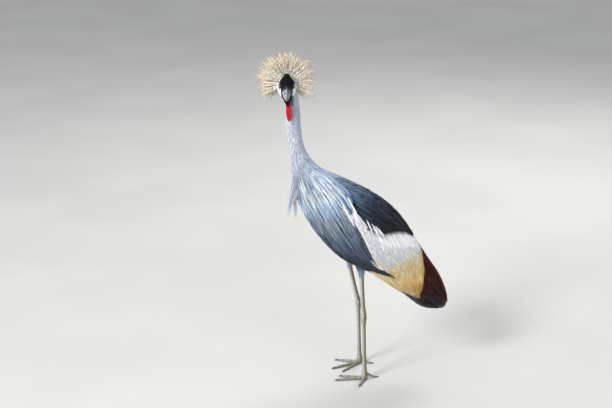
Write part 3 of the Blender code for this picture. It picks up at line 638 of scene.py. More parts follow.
# ==================================================================== skull
def skull_sf(h, t, off):
    """Skull outline at h along the head, t radians from its top."""
    h, t, off = np.broadcast_arrays(np.asarray(h, float), np.asarray(t, float), np.asarray(off, float))
    idx = np.interp(h, SKULL[:, 0], np.arange(len(SKULL)))
    i = np.clip(idx.astype(int), 0, len(SKULL) - 2)
    s = (idx - i)[..., None]
    a, b, c, d = (SKULL[np.clip(i + k, 0, len(SKULL) - 1)] for k in (-1, 0, 1, 2))
    r = 0.5 * (2 * b + (c - a) * s + (2 * a - 5 * b + 4 * c - d) * s * s + (3 * b - a - 3 * c + d) * s ** 3)
    v, l = np.cos(t), np.sin(t)
    l = np.where(v < 0, np.sign(l) * np.abs(l) ** 0.72, l)
    cheek = ease((0.12 - v) / 0.5)
    egg = 0.86 + 0.14 * cheek - 0.20 * np.maximum(v, 0) ** 2 - 0.10 * np.maximum(-v, 0) ** 2
    deep = np.where(v < 0, 1.22, 1.0)
    full = np.exp(-((np.arccos(np.clip(v, -1, 1)) - 2.36) / 0.46) ** 2) * ease((h + 0.022) / 0.022) * ease((0.0345 - h) / 0.012)
    l = l * (1 + 0.21 * full)
    v = v * (1 + 0.16 * full)
    return on_head(h, l * (np.maximum(r[..., 3], 0) + off) * egg, r[..., 1] + v * (np.maximum(r[..., 2], 0) * deep + off))


def head_sf(u, f, off):
    """Same, with u from 0 at the bill to 10 at the back and f from -1 to 1."""
    h = 0.034 - 0.0675 * np.asarray(u, float) / 10.0
    return skull_sf(h, pi * np.asarray(f, float), off)


def cheek_mask(p):
    h, l, v = head_coords(p)
    e = ((h - 0.0030) / 0.0235) ** 2 + ((v + 0.0145) / 0.0220) ** 2
    return (1 - ease((e - 0.86) / 0.22)) * ease((np.abs(l) - 0.0128) / 0.0020)


EYE_AXIS = [unit(LAT * s * 0.84 + FWD * 0.52 + UPV * 0.04) for s in (1, -1)]
EYE_C = [on_head(EYE_AT[0], EYE_AT[1] * s, EYE_AT[2]) for s in (1, -1)]


def head_paint(p):
    h, l, v = head_coords(p)
    black = np.broadcast_to(srgb(20, 22, 30), p.shape)
    nape = ease((-h - 0.017) / 0.010) * ease((0.012 - v) / 0.012)
    c = mix(black, NECK_C, nape)
    crown = ease((0.013 - h) / 0.008) * ease((v - 0.004) / 0.008) * ease((np.abs(l) - 0.0065 - 0.62 * np.maximum(0.0335 - v, 0)) / 0.0030)
    c = mix(c, srgb(248, 244, 232), np.maximum(crown, ease((-0.012 - h) / 0.006) * ease((v - 0.006) / 0.006)))
    c = mix(c, srgb(230, 230, 233), cheek_mask(p))
    red = (1 - ease((((h + 0.005) / 0.0062) ** 2 + ((v - 0.0085) / 0.0030) ** 2 - 0.6) / 0.8)) * ease((np.abs(l) - 0.016) / 0.003)
    return mix(c, srgb(196, 40, 44), red)


# ===================================================================== skin
def grid_faces(rows, cols, base=0, wrap=True):
    j = np.arange(cols if wrap else cols - 1)
    i = np.arange(rows - 1)[:, None]
    a = base + i * cols + j
    b = base + i * cols + (j + 1) % cols
    return np.stack([a, b, b + cols, a + cols], -1).reshape(-1, 4)


def closed_loft(rings, tip0, tip1, base=0):
    rings = np.asarray(rings)
    R, C, _ = rings.shape
    V = np.concatenate([rings.reshape(-1, 3), [tip0, tip1]])
    q = grid_faces(R, C, base)
    k = np.arange(C)
    t0 = np.stack([np.full(C, base + R * C), base + (k + 1) % C, base + k], -1)
    t1 = np.stack([np.full(C, base + R * C + 1), base + (R - 1) * C + k, base + (R - 1) * C + (k + 1) % C], -1)
    return V, q, np.concatenate([t0, t1])


def tube_rings(path, ra, rb, n=20, floor=False):
    path = np.asarray(path, float)
    T = unit(np.gradient(path, axis=0))
    ref = np.where(np.abs(T[:, 2:3]) > 0.6, np.array([[1.0, 0, 0]]), np.array([[0, 0, 1.0]]))
    s1 = unit(np.cross(T, ref))
    s2 = unit(np.cross(T, s1))
    k = 2 * pi * np.arange(n) / n
    r = (path[:, None] + s1[:, None] * (np.asarray(ra)[:, None] * np.cos(k))[..., None]
         + s2[:, None] * (np.asarray(rb)[:, None] * np.sin(k))[..., None])
    if floor:
        r[..., 2] = np.maximum(r[..., 2], 0.0)
    return r


def join_lofts(parts):
    V, Q, T, n = [], [], [], 0
    for v, q, t in parts:
        V.append(v)
        Q.append(q + n)
        T.append(t + n)
        n += len(v)
    return np.concatenate(V), np.concatenate(Q), np.concatenate(T)


def mesh_arrays(ob):
    deps = bpy.context.evaluated_depsgraph_get()
    ev = ob.evaluated_get(deps)
    me = ev.to_mesh()
    V = np.empty(len(me.vertices) * 3, np.float32)
    me.vertices.foreach_get("co", V)
    loops = np.empty(len(me.loops), np.int32)
    me.loops.foreach_get("vertex_index", loops)
    start = np.empty(len(me.polygons), np.int32)
    size = np.empty(len(me.polygons), np.int32)
    me.polygons.foreach_get("loop_start", start)
    me.polygons.foreach_get("loop_total", size)
    ev.to_mesh_clear()
    faces = [loops[start[size == k][:, None] + np.arange(k)] for k in np.unique(size)]
    return V.reshape(-1, 3).astype(float) - SHIFT, faces


def voxel(name, V, faces, size, smooth=3):
    ob = put_mesh(name, V, faces, None)
    r = ob.modifiers.new("r", "REMESH")
    r.mode, r.voxel_size, r.adaptivity = "VOXEL", size, 0.0
    if smooth:
        s = ob.modifiers.new("s", "SMOOTH")
        s.factor, s.iterations = 0.5, smooth
    out = mesh_arrays(ob)
    bpy.data.objects.remove(ob, do_unlink=True)
    return out


def vertex_normals(V, faces):
    N = np.zeros_like(V)
    for f in faces:
        n = np.cross(V[f[:, 1]] - V[f[:, 0]], V[f[:, 2]] - V[f[:, 0]])
        if f.shape[1] > 3:
            n = n + np.cross(V[f[:, 2]] - V[f[:, 0]], V[f[:, 3]] - V[f[:, 0]])
        for k in range(f.shape[1]):
            np.add.at(N, f[:, k], n)
    return unit(N)


LEGS = {
    "left": ((0.067, -0.017, 0.344), (0.060, -0.022, 0.425), LEFT_FOOT,
             {"inner": (0.040, -0.081), "middle": (0.070, -0.097), "outer": (0.122, -0.028), "hind": (0.056, 0.046)}),
    "right": ((-0.049, -0.036, 0.334), (-0.050, -0.036, 0.425), RIGHT_FOOT,
              {"inner": (0.014, -0.066), "middle": (-0.012, -0.096), "outer": (-0.078, -0.078), "hind": (-0.040, 0.046)}),
}
TOE_R, TARSUS_R = 0.0056, 0.0058


def build_skin():
    # --- body and neck, inside the plumage by the coat's depth
    us = np.concatenate([np.linspace(-2.95, 5.0, 78), np.linspace(5.1, 14.35, 92)])
    C = 128
    deg = 360.0 * np.arange(C) / C
    deg = np.where(deg > 180, deg - 360, deg)
    depth = np.interp(us, [-3, -2.4, 3.5, 5.5, 8.0, 12.0, 12.8, 13.6, 14.1, 14.35],
                      [0.0060, 0.0048, 0.0050, 0.0090, 0.0120, 0.0120, 0.0150, 0.0270, 0.0400, 0.0480])
    body = surf_deg(us[:, None], deg[None, :], -depth[:, None])
    bv, bq, bt = closed_loft(body, body[0].mean(0), body[-1].mean(0))
    bf = np.concatenate([np.abs(deg)[None, :] / 180.0 * np.ones((len(us), 1))]).ravel()
    bU = np.repeat(us, C)
    bF = frac_of(bU, np.tile(np.abs(deg), len(us))) * np.tile(np.sign(deg + 1e-9), len(us))
    body_tint = paint(bU, bF)
    # painted shade: the skin under the plumage is darker than the feathers' colours so the gaps between feathers read
    # as shadow; less so under the palest plumage, and the neck's skin is lightened again
    body_tint = body_tint * (0.55 + 0.35 * ease((body_tint.min(axis=1) - 0.5) / 0.3))[:, None]
    neck = ease((4.6 - bU) / 2.5)
    body_tint = body_tint * (1 + 0.45 * neck[:, None])
    body_tint = np.concatenate([body_tint, body_tint[:1], body_tint[-1:]])

    # --- head: velvet sits lower, cheeks are bare and full
    hs = np.concatenate([-0.0345 + 0.0345 * (1 - np.cos(np.linspace(0, pi / 2, 50))), np.linspace(0.0006, 0.0340, 50)])
    ts = 2 * pi * np.arange(120) / 120
    P = skull_sf(hs[:, None], ts[None, :], 0.0)
    m = cheek_mask(P)
    off = -0.0030 * (1 - m) - 0.0004 * m
    front = ease((hs[:, None] - 0.028) / 0.006)
    off = off * (1 - front) - 0.0008 * front
    taper = ease((hs[:, None] + 0.0345) / 0.008)
    P = skull_sf(hs[:, None], ts[None, :], off * taper)
    parts = [closed_loft(P, P[0].mean(0), P[-1].mean(0))]
    # the fleshy rim round the bill, and the chin
    for s, v, hl, hv in ((0.0335, -0.0050, 0.0150, 0.0136),):
        rings = [on_head(s + dh, (hl + g) * np.cos(ts[::4]), v + (hv + g) * np.sin(ts[::4]) * np.where(np.sin(ts[::4]) < 0, 0.82, 1.0))
                 for dh, g in ((-0.006, -0.001), (-0.003, 0.0), (0.0, -0.0001), (0.0014, -0.0007), (0.0022, -0.0018))]
        parts.append(closed_loft(np.array(rings)[:, ::-1], rings[0].mean(0), rings[-1].mean(0)))
    # upper and lower lids, and the dark ring they sit in
    for c, ax in zip(EYE_C, EYE_AXIS):
        side = unit(np.cross(UPV, ax))
        top = np.cross(ax, side)
        th = 2 * pi * np.arange(48) / 48
        lid_open = np.where(np.sin(th) > 0, 0.86, 0.92)
        for ang, r in ((0.90, 0.0011), (1.12, 0.0015), (1.36, 0.0016)):
            a = ang * (lid_open if ang < 1.1 else 1.0)
            ring = c + (EYE_R + 0.0001) * (ax * np.cos(a)[:, None] if np.ndim(a) else ax * math.cos(a)) \
                + (EYE_R + 0.0001) * (np.sin(a)[:, None] if np.ndim(a) else math.sin(a)) * (side * np.cos(th)[:, None] + top * np.sin(th)[:, None])
            T = unit(np.roll(ring, -1, 0) - np.roll(ring, 1, 0))
            n1 = unit(ring - c)
            n2 = np.cross(T, n1)
            k = 2 * pi * np.arange(10) / 10
            g = ring[:, None] + r * (n1[:, None] * np.cos(k)[None, :, None] + n2[:, None] * np.sin(k)[None, :, None])
            i = np.arange(48)[:, None]
            j = np.arange(10)[None, :]
            a0 = i * 10 + j
            q = np.stack([a0, i * 10 + (j + 1) % 10, ((i + 1) % 48) * 10 + (j + 1) % 10, ((i + 1) % 48) * 10 + j], -1).reshape(-1, 4)
            parts.append((g.reshape(-1, 3), q, np.zeros((0, 3), int)))
    hv, hq, ht = join_lofts(parts)
    hV, hF = voxel("head_form", hv, [hq, ht], 0.00080, 2)
    # the socket: nothing of the skin stands over the eyeball's window
    for c, ax in zip(EYE_C, EYE_AXIS):
        d = hV - c
        r = np.linalg.norm(d, axis=1)
        ca = (d @ ax) / np.maximum(r, 1e-9)
        w = (ca > math.cos(0.80)) & (r < EYE_R * 1.5)
        hV[w] = c + d[w] / r[w][:, None] * (EYE_R - 0.0012)
    # soft wrinkles round the cheeks and lids
    hN = vertex_normals(hV, hF)
    mk = cheek_mask(hV)
    hV = hV + hN * (mk * 0.00026 * np.sin(2200 * (hV @ unit(UPV + 0.35 * FWD)) + 1.5 * np.sin(700 * hV[:, 0])))[:, None]
    head_tint = head_paint(hV)
    for c, ax in zip(EYE_C, EYE_AXIS):
        r = np.linalg.norm(hV - c, axis=1)
        head_tint = mix(head_tint, srgb(26, 27, 33), 1 - ease((r - 0.0082) / 0.0022))

    # --- legs and feet
    parts = []
    marks = []
    for tag, (knee, hip, foot, toes) in LEGS.items():
        knee, hip = np.array(knee), np.array(hip)
        ankle = np.array((foot[0], foot[1] - 0.007, ANKLE_Z))
        s = np.linspace(0, 1, 26)
        r = 0.0245 - 0.0150 * ease((s - 0.15) / 0.85) - 0.0035
        path = hip + (knee - hip) * s[:, None]
        rg = tube_rings(path, r, r * 0.9, 28)
        parts.append(closed_loft(rg, path[0], path[-1]))
        s = np.linspace(-0.18, 1.0, 48)
        r = np.interp(s, [-0.2, 0.0, 0.25, 0.55, 0.80, 0.92, 1.0], [0.0066, 0.0066, 0.0060, 0.0058, 0.0066, 0.0082, 0.0086])
        path = knee + (ankle - knee) * s[:, None]
        parts.append(closed_loft(tube_rings(path, r * 1.12, r, 28), path[0], path[-1]))
        # the ankle: two knuckles
        for dx in (-0.0032, 0.0032):
            q = np.array([ankle + (dx, 0, z) for z in np.linspace(-0.0085, 0.0085, 12)])
            rr = 0.0072 * np.sqrt(np.clip(1 - (np.linspace(-0.98, 0.98, 12)) ** 2, 0.02, 1))
            parts.append(closed_loft(tube_rings(q, rr, rr * 1.2, 20), q[0], q[-1]))
        base = np.array((foot[0], foot[1], 0.0085))
        s = np.linspace(0, 1, 90)
        r = np.interp(s, [0, 0.035, 0.08, 0.16, 0.55, 0.85, 0.93, 1.0],
                      [0.0088, 0.0090, 0.0074, TARSUS_R, TARSUS_R * 0.95, TARSUS_R * 1.08, 0.0080, 0.0092])
        path = ankle + (base - ankle) * s[:, None]
        rg = tube_rings(path, r * 1.1, r, 28)
        parts.append(closed_loft(rg, path[0], path[-1]))
        pad = np.array([(foot[0], foot[1], z) for z in (0.0, 0.002, 0.005, 0.0085, 0.011)])
        parts.append(closed_loft(tube_rings(pad, np.array((0.0076, 0.0087, 0.0092, 0.0092, 0.0080)),
                                            np.array((0.0076, 0.0087, 0.0092, 0.0092, 0.0080)), 28), pad[0], pad[-1]))
        marks.append((ankle, base, None, None))
        for name, tip in toes.items():
            hind = name == "hind"
            d = np.array((tip[0] - foot[0], tip[1] - foot[1], 0.0))
            length = np.linalg.norm(d)
            d = d / length
            claw = 0.013 if hind else 0.012
            r0 = TOE_R * (0.78 if hind else (1.05 if name == "middle" else 0.95))
            s = np.linspace(0, 1, 44)
            joints = 3 if hind else 5
            r = r0 * (1 - 0.30 * s) * (1 + 0.06 * np.sin(s * 6 * pi))
            # pads under the joints
            low = 1 + 0.05 * np.cos(s * joints * 2 * pi)
            if hind:
                z = 0.0205 * (1 - ease(s * 1.05)) + r * 0.82 * ease(s * 1.05)
            else:
                z = 0.0075 * (1 - ease(s * 3)) + r * 0.82 * ease(s * 3)
            path = np.array((foot[0], foot[1], 0.0)) + d * ((length - claw) * s)[:, None] + np.stack([0 * s, 0 * s, z], -1)
            rg = tube_rings(path, r * 0.96 * low, r, 22, floor=True)
            parts.append(closed_loft(rg, path[0], path[-1]))
            marks.append((path[0], path[-1], d, r0))
    lv, lq, lt = join_lofts(parts)
    lV, lF = voxel("leg_form", lv, [lq, lt], 0.00090, 2)
    lV[:, 2] = np.maximum(lV[:, 2], 0.0)
    lN = vertex_normals(lV, lF)
    disp = np.zeros(len(lV))
    seam = np.zeros(len(lV))
    for a, b, d, r0 in marks:
        ax = unit(b - a)
        q = lV - a
        t = q @ ax
        L = np.linalg.norm(b - a)
        r = np.linalg.norm(q - ax * t[:, None], axis=1)
        if d is None:
            # scutes: broad plates down the front of the shank, rounder ones behind
            near = (t > -0.012) & (t < L + 0.004) & (r < 0.0135)
            ph = t / 0.0052 + 0.18 * np.sin(t * 260)
            frontness = ease((-lN[:, 1] + 0.15) / 0.6)
            frac = np.abs((ph % 1.0) - 0.5) * 2
            groove = ease((frac - 0.70) / 0.28)
            ph2 = t / 0.0034 + 0.5 * np.round(np.arctan2(q[:, 0], q[:, 1]) / 0.6)
            g2 = ease((np.abs((ph2 % 1.0) - 0.5) * 2 - 0.62) / 0.3)
            g = groove * frontness + 0.6 * g2 * (1 - frontness)
            w = near * 1.0
        else:
            near = (t > 0.004) & (t < L + 0.003) & (r < r0 * 1.7)
            ph = t / 0.0036
            frac = np.abs((ph % 1.0) - 0.5) * 2
            topness = ease((lN[:, 2] + 0.1) / 0.5)
            g = ease((frac - 0.62) / 0.35) * topness
            w = near * 1.0
        disp -= 0.00042 * g * w
        seam = np.maximum(seam, g * w)
    lV = lV + lN * disp[:, None]
    lV[:, 2] = np.maximum(lV[:, 2], 0.0)
    leg_tint = mix(np.broadcast_to(srgb(142, 138, 120), lV.shape), srgb(96, 92, 78), ease((lV[:, 2] - 0.20) / 0.10) * 0.5)
    # painted light: the side of the legs facing the key light is painted pale grey as a highlight, and the side turned
    # away is painted brown as shade
    leg_tint = mix(leg_tint, srgb(206, 208, 212), 0.85 * ease((0.22 - lN[:, 1]) / 0.75))
    leg_tint = mix(leg_tint, srgb(132, 108, 66), 0.78 * ease((lN[:, 1] + 0.08) / 0.45))
    leg_tint = mix(leg_tint, srgb(88, 84, 74), seam * 0.75)
    leg_tint = mix(leg_tint, srgb(142, 138, 130), ease((0.03 - lV[:, 2]) / 0.03) * 0.5)
    leg_tint = mix(leg_tint, THIGH_C * 0.8, ease((lV[:, 2] - 0.335) / 0.012))

    # --- one closed skin
    objs = [put_mesh("skin", bv, [bq, bt], None), put_mesh("h_form", hV, hF, None), put_mesh("l_form", lV, lF, None)]
    volumes = []
    for o in objs:
        bm = bmesh.new()
        bm.from_mesh(o.data)
        bmesh.ops.recalc_face_normals(bm, faces=bm.faces)
        if bm.calc_volume(signed=True) < 0:
            bmesh.ops.reverse_faces(bm, faces=bm.faces)
        volumes.append(bm.calc_volume())
        bm.to_mesh(o.data)
        bm.free()
    for o in objs[1:]:
        b = objs[0].modifiers.new("u", "BOOLEAN")
        b.operation, b.object = "UNION", o
        try:
            b.solver = "MANIFOLD"
        except TypeError:
            b.solver = "EXACT"
    V, F = mesh_arrays(objs[0])
    ok = len(V) > 0.6 * (len(bv) + len(hV) + len(lV))
    print("SKIN verts", len(V), "from", len(bv), len(hV), len(lV), "ok", ok, "volumes", volumes)
    if not ok:
        n1, n2 = len(bv), len(bv) + len(hV)
        V = np.concatenate([bv, hV, lV])
        F = [bq, bt] + [f + n1 for f in hF] + [f + n2 for f in lF]
    for o in objs:
        bpy.data.objects.remove(o, do_unlink=True)
    # colours follow each vertex's nearest source
    src = np.concatenate([bv, hV, lV])
    tint = np.concatenate([body_tint, head_tint, leg_tint])
    leg = np.concatenate([np.zeros(len(bv)), np.zeros(len(hV)), 1 - ease((lV[:, 2] - 0.335) / 0.012)])
    bare = np.concatenate([np.zeros(len(bv)), cheek_mask(hV), np.zeros(len(lV))])
    kd = KDTree(len(src))
    for i, p in enumerate(src):
        kd.insert(p, i)
    kd.balance()
    idx = np.array([kd.find(p)[1] for p in V])
    ob = put_mesh("skin", V, F, skin_mat(), tint[idx], {"leg": leg[idx], "bare": bare[idx]})
    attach(ob, "root")
    names = ["head", "neck_upper", "neck_lower", "trunk"]
    for tag in ("left", "right"):
        names += ["thigh_" + tag, "shin_" + tag, "tarsus_" + tag] + ["toe_%s_%s" % (n, tag) for n in ("inner", "middle", "outer", "hind")]
    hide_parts(*names)
    return ob


build_skin()


# ==================================================================== coat
SHAPES = {
    "lance": lambda t: np.minimum(1, (t + 0.02) / 0.30) ** 0.7 * (1 - np.clip((t - 0.35) / 0.65, 0, 1) ** 1.5),
    "round": lambda t: np.minimum(1, (t + 0.02) / 0.22) ** 0.6 * np.sqrt(1 - np.clip((t - 0.60) / 0.40, 0, 1) ** 2.2),
    "hair": lambda t: np.minimum(1, 0.45 + t / 0.35) * (1 - t) ** 0.5,
    "quill": lambda t: np.minimum(1, (t + 0.01) / 0.15) ** 0.7 * np.sqrt(1 - np.clip((t - 0.80) / 0.20, 0, 1) ** 2.0),
}


def groom(u, f, direction, length, width, thick, ns, off0, off1, colour, tip=None, shape="lance", m=1, blade=False,
          camber=0.3, sf=surf, uv=body_uv, sway=0.05, lock=0.06, bow=1.0, u_max=19.9, inside=None, over=0.004,
          shade=0.0, jit=0.0005, least=0.010):
    """Vanes rooted at (u, f), lying the way direction points."""
    u, f = np.asarray(u, float), np.asarray(f, float)
    n = len(u)
    L = np.broadcast_to(length, n) * rng.uniform(0.86, 1.14, n)
    rnd = rng.random(n)
    j = rng.normal(0, sway, n) + lock * wave(u, f, 5.0, 3)
    lift = rng.normal(0, jit, n)

    def way(uu, ff, p, t, tu, tf):
        return unit(direction(uu, ff, p, t, tu, tf)) + unit(tf) * (j * (0.5 + t))[:len(uu), None]

    if inside is not None:
        steps = 14
        _, _, us, fs = walk(u, f, way, L, steps, off0, off1, bow, sf, u_max)
        ok = np.cumprod(inside(us, fs), axis=1)
        reach = ok.sum(1) - 1
        L = np.minimum(L, L * np.clip(reach, 0, steps) / steps + over * rng.uniform(0.2, 1.0, n))
        keep = (ok[:, 0] > 0) & (L > least)
        u, f, L, rnd, j, lift = u[keep], f[keep], L[keep], rnd[keep], j[keep], lift[keep]
        off0, off1, width, thick = (np.broadcast_to(x, n)[keep] if np.ndim(x) else x for x in (off0, off1, width, thick))
        n = len(u)
    P, N, us, fs = walk(u, f, way, L, ns, off0, off1 + lift, bow, sf, u_max)
    t = np.linspace(0, 1, ns + 1)
    prof = np.maximum(SHAPES[shape](t), 0.05)
    W = np.broadcast_to(width, n)[:, None] * prof[None, :] * rng.uniform(0.85, 1.15, n)[:, None]
    H = np.broadcast_to(thick, n)[:, None] * (0.35 + 0.65 * prof[None, :]) * np.ones((n, 1))
    c0 = colour(u, f)
    c1 = c0 if tip is None else tip(us[:, -1], fs[:, -1])
    g = (1 + rng.normal(0, shade, n))[:, None] if shade else 1.0
    return vane_arrays(P, N, W, H, m, camber, uv(u, f), np.maximum(c0 * g, 0), np.maximum(c1 * g, 0), rnd, blade)


def along(u, f, p, t, tu, tf):
    return tu


def toward(*v):
    v = np.array(v, float)
    return lambda u, f, p, t, tu, tf: np.broadcast_to(v, tu.shape)


def in_skull(p, grow=0.0):
    h, l, v = head_coords(p)
    mid = np.interp(h, SKULL[:, 0], SKULL[:, 1])
    hv = np.interp(h, SKULL[:, 0], SKULL[:, 2]) + grow
    hl = np.interp(h, SKULL[:, 0], SKULL[:, 3]) + grow
    e = (l / hl) ** 2 + ((v - mid) / np.where(v < mid, hv * 1.22, hv)) ** 2
    return (h > -0.036) & (h < 0.034) & (e < 1.0)


def throat(p):
    """The black of the chin, running down the throat to a point."""
    q = p - HEAD
    side, front = q @ LAT, q @ np.array((FWD[0], FWD[1], 0.0))
    return ease((p[..., 2] - 0.8800 - 1.7 * np.abs(side - 0.002)) / 0.006) * ease((front + 0.004) / 0.008)


# --- neck: hair-fine silver feathers
def neck_colour(u, f):
    c = grey(u, f) * (1 + 0.02 * wave(u, f, 9.0, 7) + (0.05 + 0.10 * ease((u - 0.5) / 3)) * grain(f, u, 81, 9.0, 40.0, 0.25))[:, None]
    c = mix(c, PALE_C, 0.35 * ease((3.0 - u) / 3) * ease((wave(u, f, 3.0, 9) + 0.3) / 0.6))
    return mix(c, srgb(20, 22, 30), throat(surf(u, f, 0.0)))


r = scatter(8000, -2.95, 4.8, -1, 1)
r = r[~in_skull(surf(r[:, 0], r[:, 1], -0.004), -0.002)]
u, f = r.T
coat("coat_neck", [groom(u, f, along, np.interp(u, [-3, -1, 2, 4.5], [0.013, 0.024, 0.038, 0.046]), np.interp(u, [-3, 0, 4.6], [0.0007, 0.0009, 0.0013]),
                         0.00022, 3, -0.0046, 0.0001 + 0.0030 * ease((np.abs(f) - 0.62) / 0.3) * ease((1.5 - u) / 1.5), lambda u, f: neck_colour(u, f) * (1 - 0.30 * ease((u - 0.5) / 3) * (rng.random(len(u)) < 0.25))[:, None], shape="lance", blade=True, sway=0.035, lock=0.05, shade=0.03)],
     M_NECK)

# --- long plumes of the shoulders, flanks and breast
FLANK_TOP = [(3.4, 26), (5.0, 30), (6.0, 35), (6.5, 43), (7.0, 52), (7.3, 59), (7.55, 70), (7.8, 81), (8.0, 86), (8.5, 88), (9.0, 91),
             (9.5, 95), (10.0, 100), (10.5, 104.5), (11.0, 107.5), (11.5, 109.5), (12.0, 111), (12.4, 112), (13.2, 113)]
FLANK_LOWER = [(5.0, 138), (7.0, 141), (9.0, 141), (10.4, 141), (11.1, 134), (11.8, 124.5), (12.4, 117.5), (12.8, 115), (13.2, 115)]


def flank_slope(u, f):
    """Down the side of the body: the upper rows turn down along the wing,
    the lowest rows turn up to the point of the flank."""
    deg = deg_of(u, np.abs(f))
    a, b = table(FLANK_TOP, u), table(FLANK_LOWER, u)
    w = np.clip((deg - a) / (b - a + 1e-3), 0, 1)
    st = np.interp(u, [3.5, 5.0, 6.2, 7.2, 8.0, 9.0, 10.0, 11.0, 12.0, 12.6], [2, 5, 10, 12, 9, 8, 10, 9, 5, 3])
    sb = np.interp(u, [4, 7, 11, 11.8, 12.6], [1, 0, -1, -12, -22])
    slope = st * (1 - w) + sb * w
    k = (frac_of(u, np.clip(deg + 1, 0, 180)) - frac_of(u, np.clip(deg - 1, 0, 180))) / 2
    return k * slope


def flank_way(u, f, p, t, tu, tf):
    return tu + tf * (np.sign(f) * flank_slope(u, f))[:, None]


def flank_field(u, f):
    """The streak a place lies in, followed back along the plumes' own lie."""
    a, v = np.abs(f).astype(float), np.array(u, float)
    du = (v - 4.4) / 24
    for _ in range(24):
        a = np.clip(a - flank_slope(v, a) * du, 0.0, 1.0)
        v = v - du
    return np.clip(1.25 * grain(a, u, 61, 13.0, 29.0, 0.35), -1, 1)


def in_flank(u, f):
    a = np.abs(f)
    return (a > f_at(FLANK_TOP, u, -1.5)) & (a < f_at(FLANK_LOWER, u, np.interp(u, [10.5, 11.5, 12.5], [9.0, 4.0, 1.5]))) & (u < 12.9)


def breast_sf(u, q, off):
    b = f_at(FLANK_LOWER, u)
    return surf(u, 1 + q * (1 - b), off)


def plume_size(u):
    return (np.interp(u, [3.4, 5.0, 6.5, 9.5, 11.0, 12.0], [0.042, 0.062, 0.088, 0.090, 0.070, 0.045]),
            np.interp(u, [3.4, 5.0, 6.5, 9.5, 12.0], [0.0015, 0.0020, 0.0028, 0.0033, 0.0028]))


def streaked(colour, amount, field=None, loose=1.0):
    """Plumes stand out pale or fall back dark: the dark ones are partly the plumes' own darker tone and partly painted
    shade of the gaps between plumes.
    """
    def c(u, f):
        base = colour(u, f)
        k = rng.random(len(u))
        s = ease((u - 3.0) / 2.4) * amount
        w = np.where(k < 0.26, -0.9, np.where(k > 0.74, 0.9, 0.0)) * loose
        if field is not None:
            w = np.clip(0.34 * w + 1.0 * field(u, f), -1, 1)
        g = np.where(w < 0, 1 + 0.88 * w * s, 1 + 1.0 * w * s)
        return base * g[:, None] + (0.075 * s * np.maximum(w, 0))[:, None]
    return c


def hem_dark(u, f, c):
    """The lowest rows of the flank and its point are nearly black."""
    deg = deg_of(u, np.abs(f))
    low = ease((deg - table(FLANK_LOWER, u) + 22) / 16) * ease((u - 9.2) / 1.5)
    point = ease((u - 11.3) / 0.9)
    return mix(c, srgb(26, 32, 46), np.clip(low + point, 0, 1) * 0.85)


def flank_colour(u, f):
    c = hem_dark(u, f, grey(u, f))
    rim = (1 - ease((deg_of(u, np.abs(f)) - table(FLANK_TOP, u)) / 9.0)) * ease((u - 8.4) / 1.6)
    return mix(c, srgb(40, 47, 55), rim * 0.8)


for tag, side in (("left", 1), ("right", -1)):
    zone = lambda u, f: (f > f_at(FLANK_TOP, u)) * (f < f_at(FLANK_LOWER, u, 2.0))
    r = scatter(1650, 3.4, 12.2, 0.05, 0.95, weight=zone)
    u, f = r.T
    L, w = plume_size(u)
    depth = np.interp(u, [3.5, 6, 8], [-0.0050, -0.0085, -0.0100])
    near = np.abs(deg_of(u, f) - table(FLANK_TOP, u))
    top = np.interp(near, [0, 12], [0.0018, 0.0005])
    col = streaked(flank_colour, 1.0, flank_field)
    top = top + 0.0012 * flank_field(u, f)
    a = groom(u, f * side, flank_way, L, w, 0.00035, 6, depth, top, col, streaked(flank_colour, 0.9, flank_field, 0.3), m=1, camber=0.35,
              sway=0.030, lock=0.04, u_max=12.9, inside=in_flank, over=0.004, shade=0.08, bow=0.8)
    r = scatter(1150, 3.8, 12.1, 0.05, 0.95, weight=lambda u, f: zone(u, f) * (0.12 + ease((flank_field(u, f) + 0.1) / 0.8)))
    u, f = r.T
    L, w = plume_size(u)
    by_edge = lambda u, f: ease((u - 4.6) / 1.0) * (1 - ease((deg_of(u, np.abs(f)) - table(FLANK_TOP, u) - 2.0) / 12.0))
    light = lambda u, f: hem_dark(u, f, np.minimum(grey(u, f) * (2.1 - 0.6 * by_edge(u, f))[:, None] + (0.11 - 0.03 * ease((u - 7.0) / 2.0))[:, None] * ease((u - 4.0) / 3.0)[:, None], 0.80))
    b = groom(u, f * side, flank_way, L * 1.35, 0.00082, 0.00028, 6, -0.0040, 0.0020, light, light, shape="hair", blade=True, camber=0.1,
              sway=0.030, lock=0.04, u_max=12.9, inside=in_flank, over=0.004, shade=0.15, bow=0.7)
    # a few cream plumes of the wing show above the flank's dark hem
    k = 44
    su = rng.uniform(10.75, 11.35, k)
    sd = 107.5 + (su - 10.3) * 2.6 + rng.normal(0, 1.6, k)
    cream = lambda u, f: mix(np.broadcast_to(CREAM_C, u.shape + (3,)), FLANK_C, rng.random(len(u)) * 0.35)
    c = groom(su, frac_of(su, sd) * side, flank_way, 0.026, 0.0015, 0.0003, 6, 0.0006, 0.0024, cream, None, shape="lance",
              camber=0.2, sway=0.05, lock=0.0, u_max=12.6, bow=0.6)
    coat("coat_flank_" + tag, [a, b, c], M_PLUME, replaces=("flank_" + tag,))

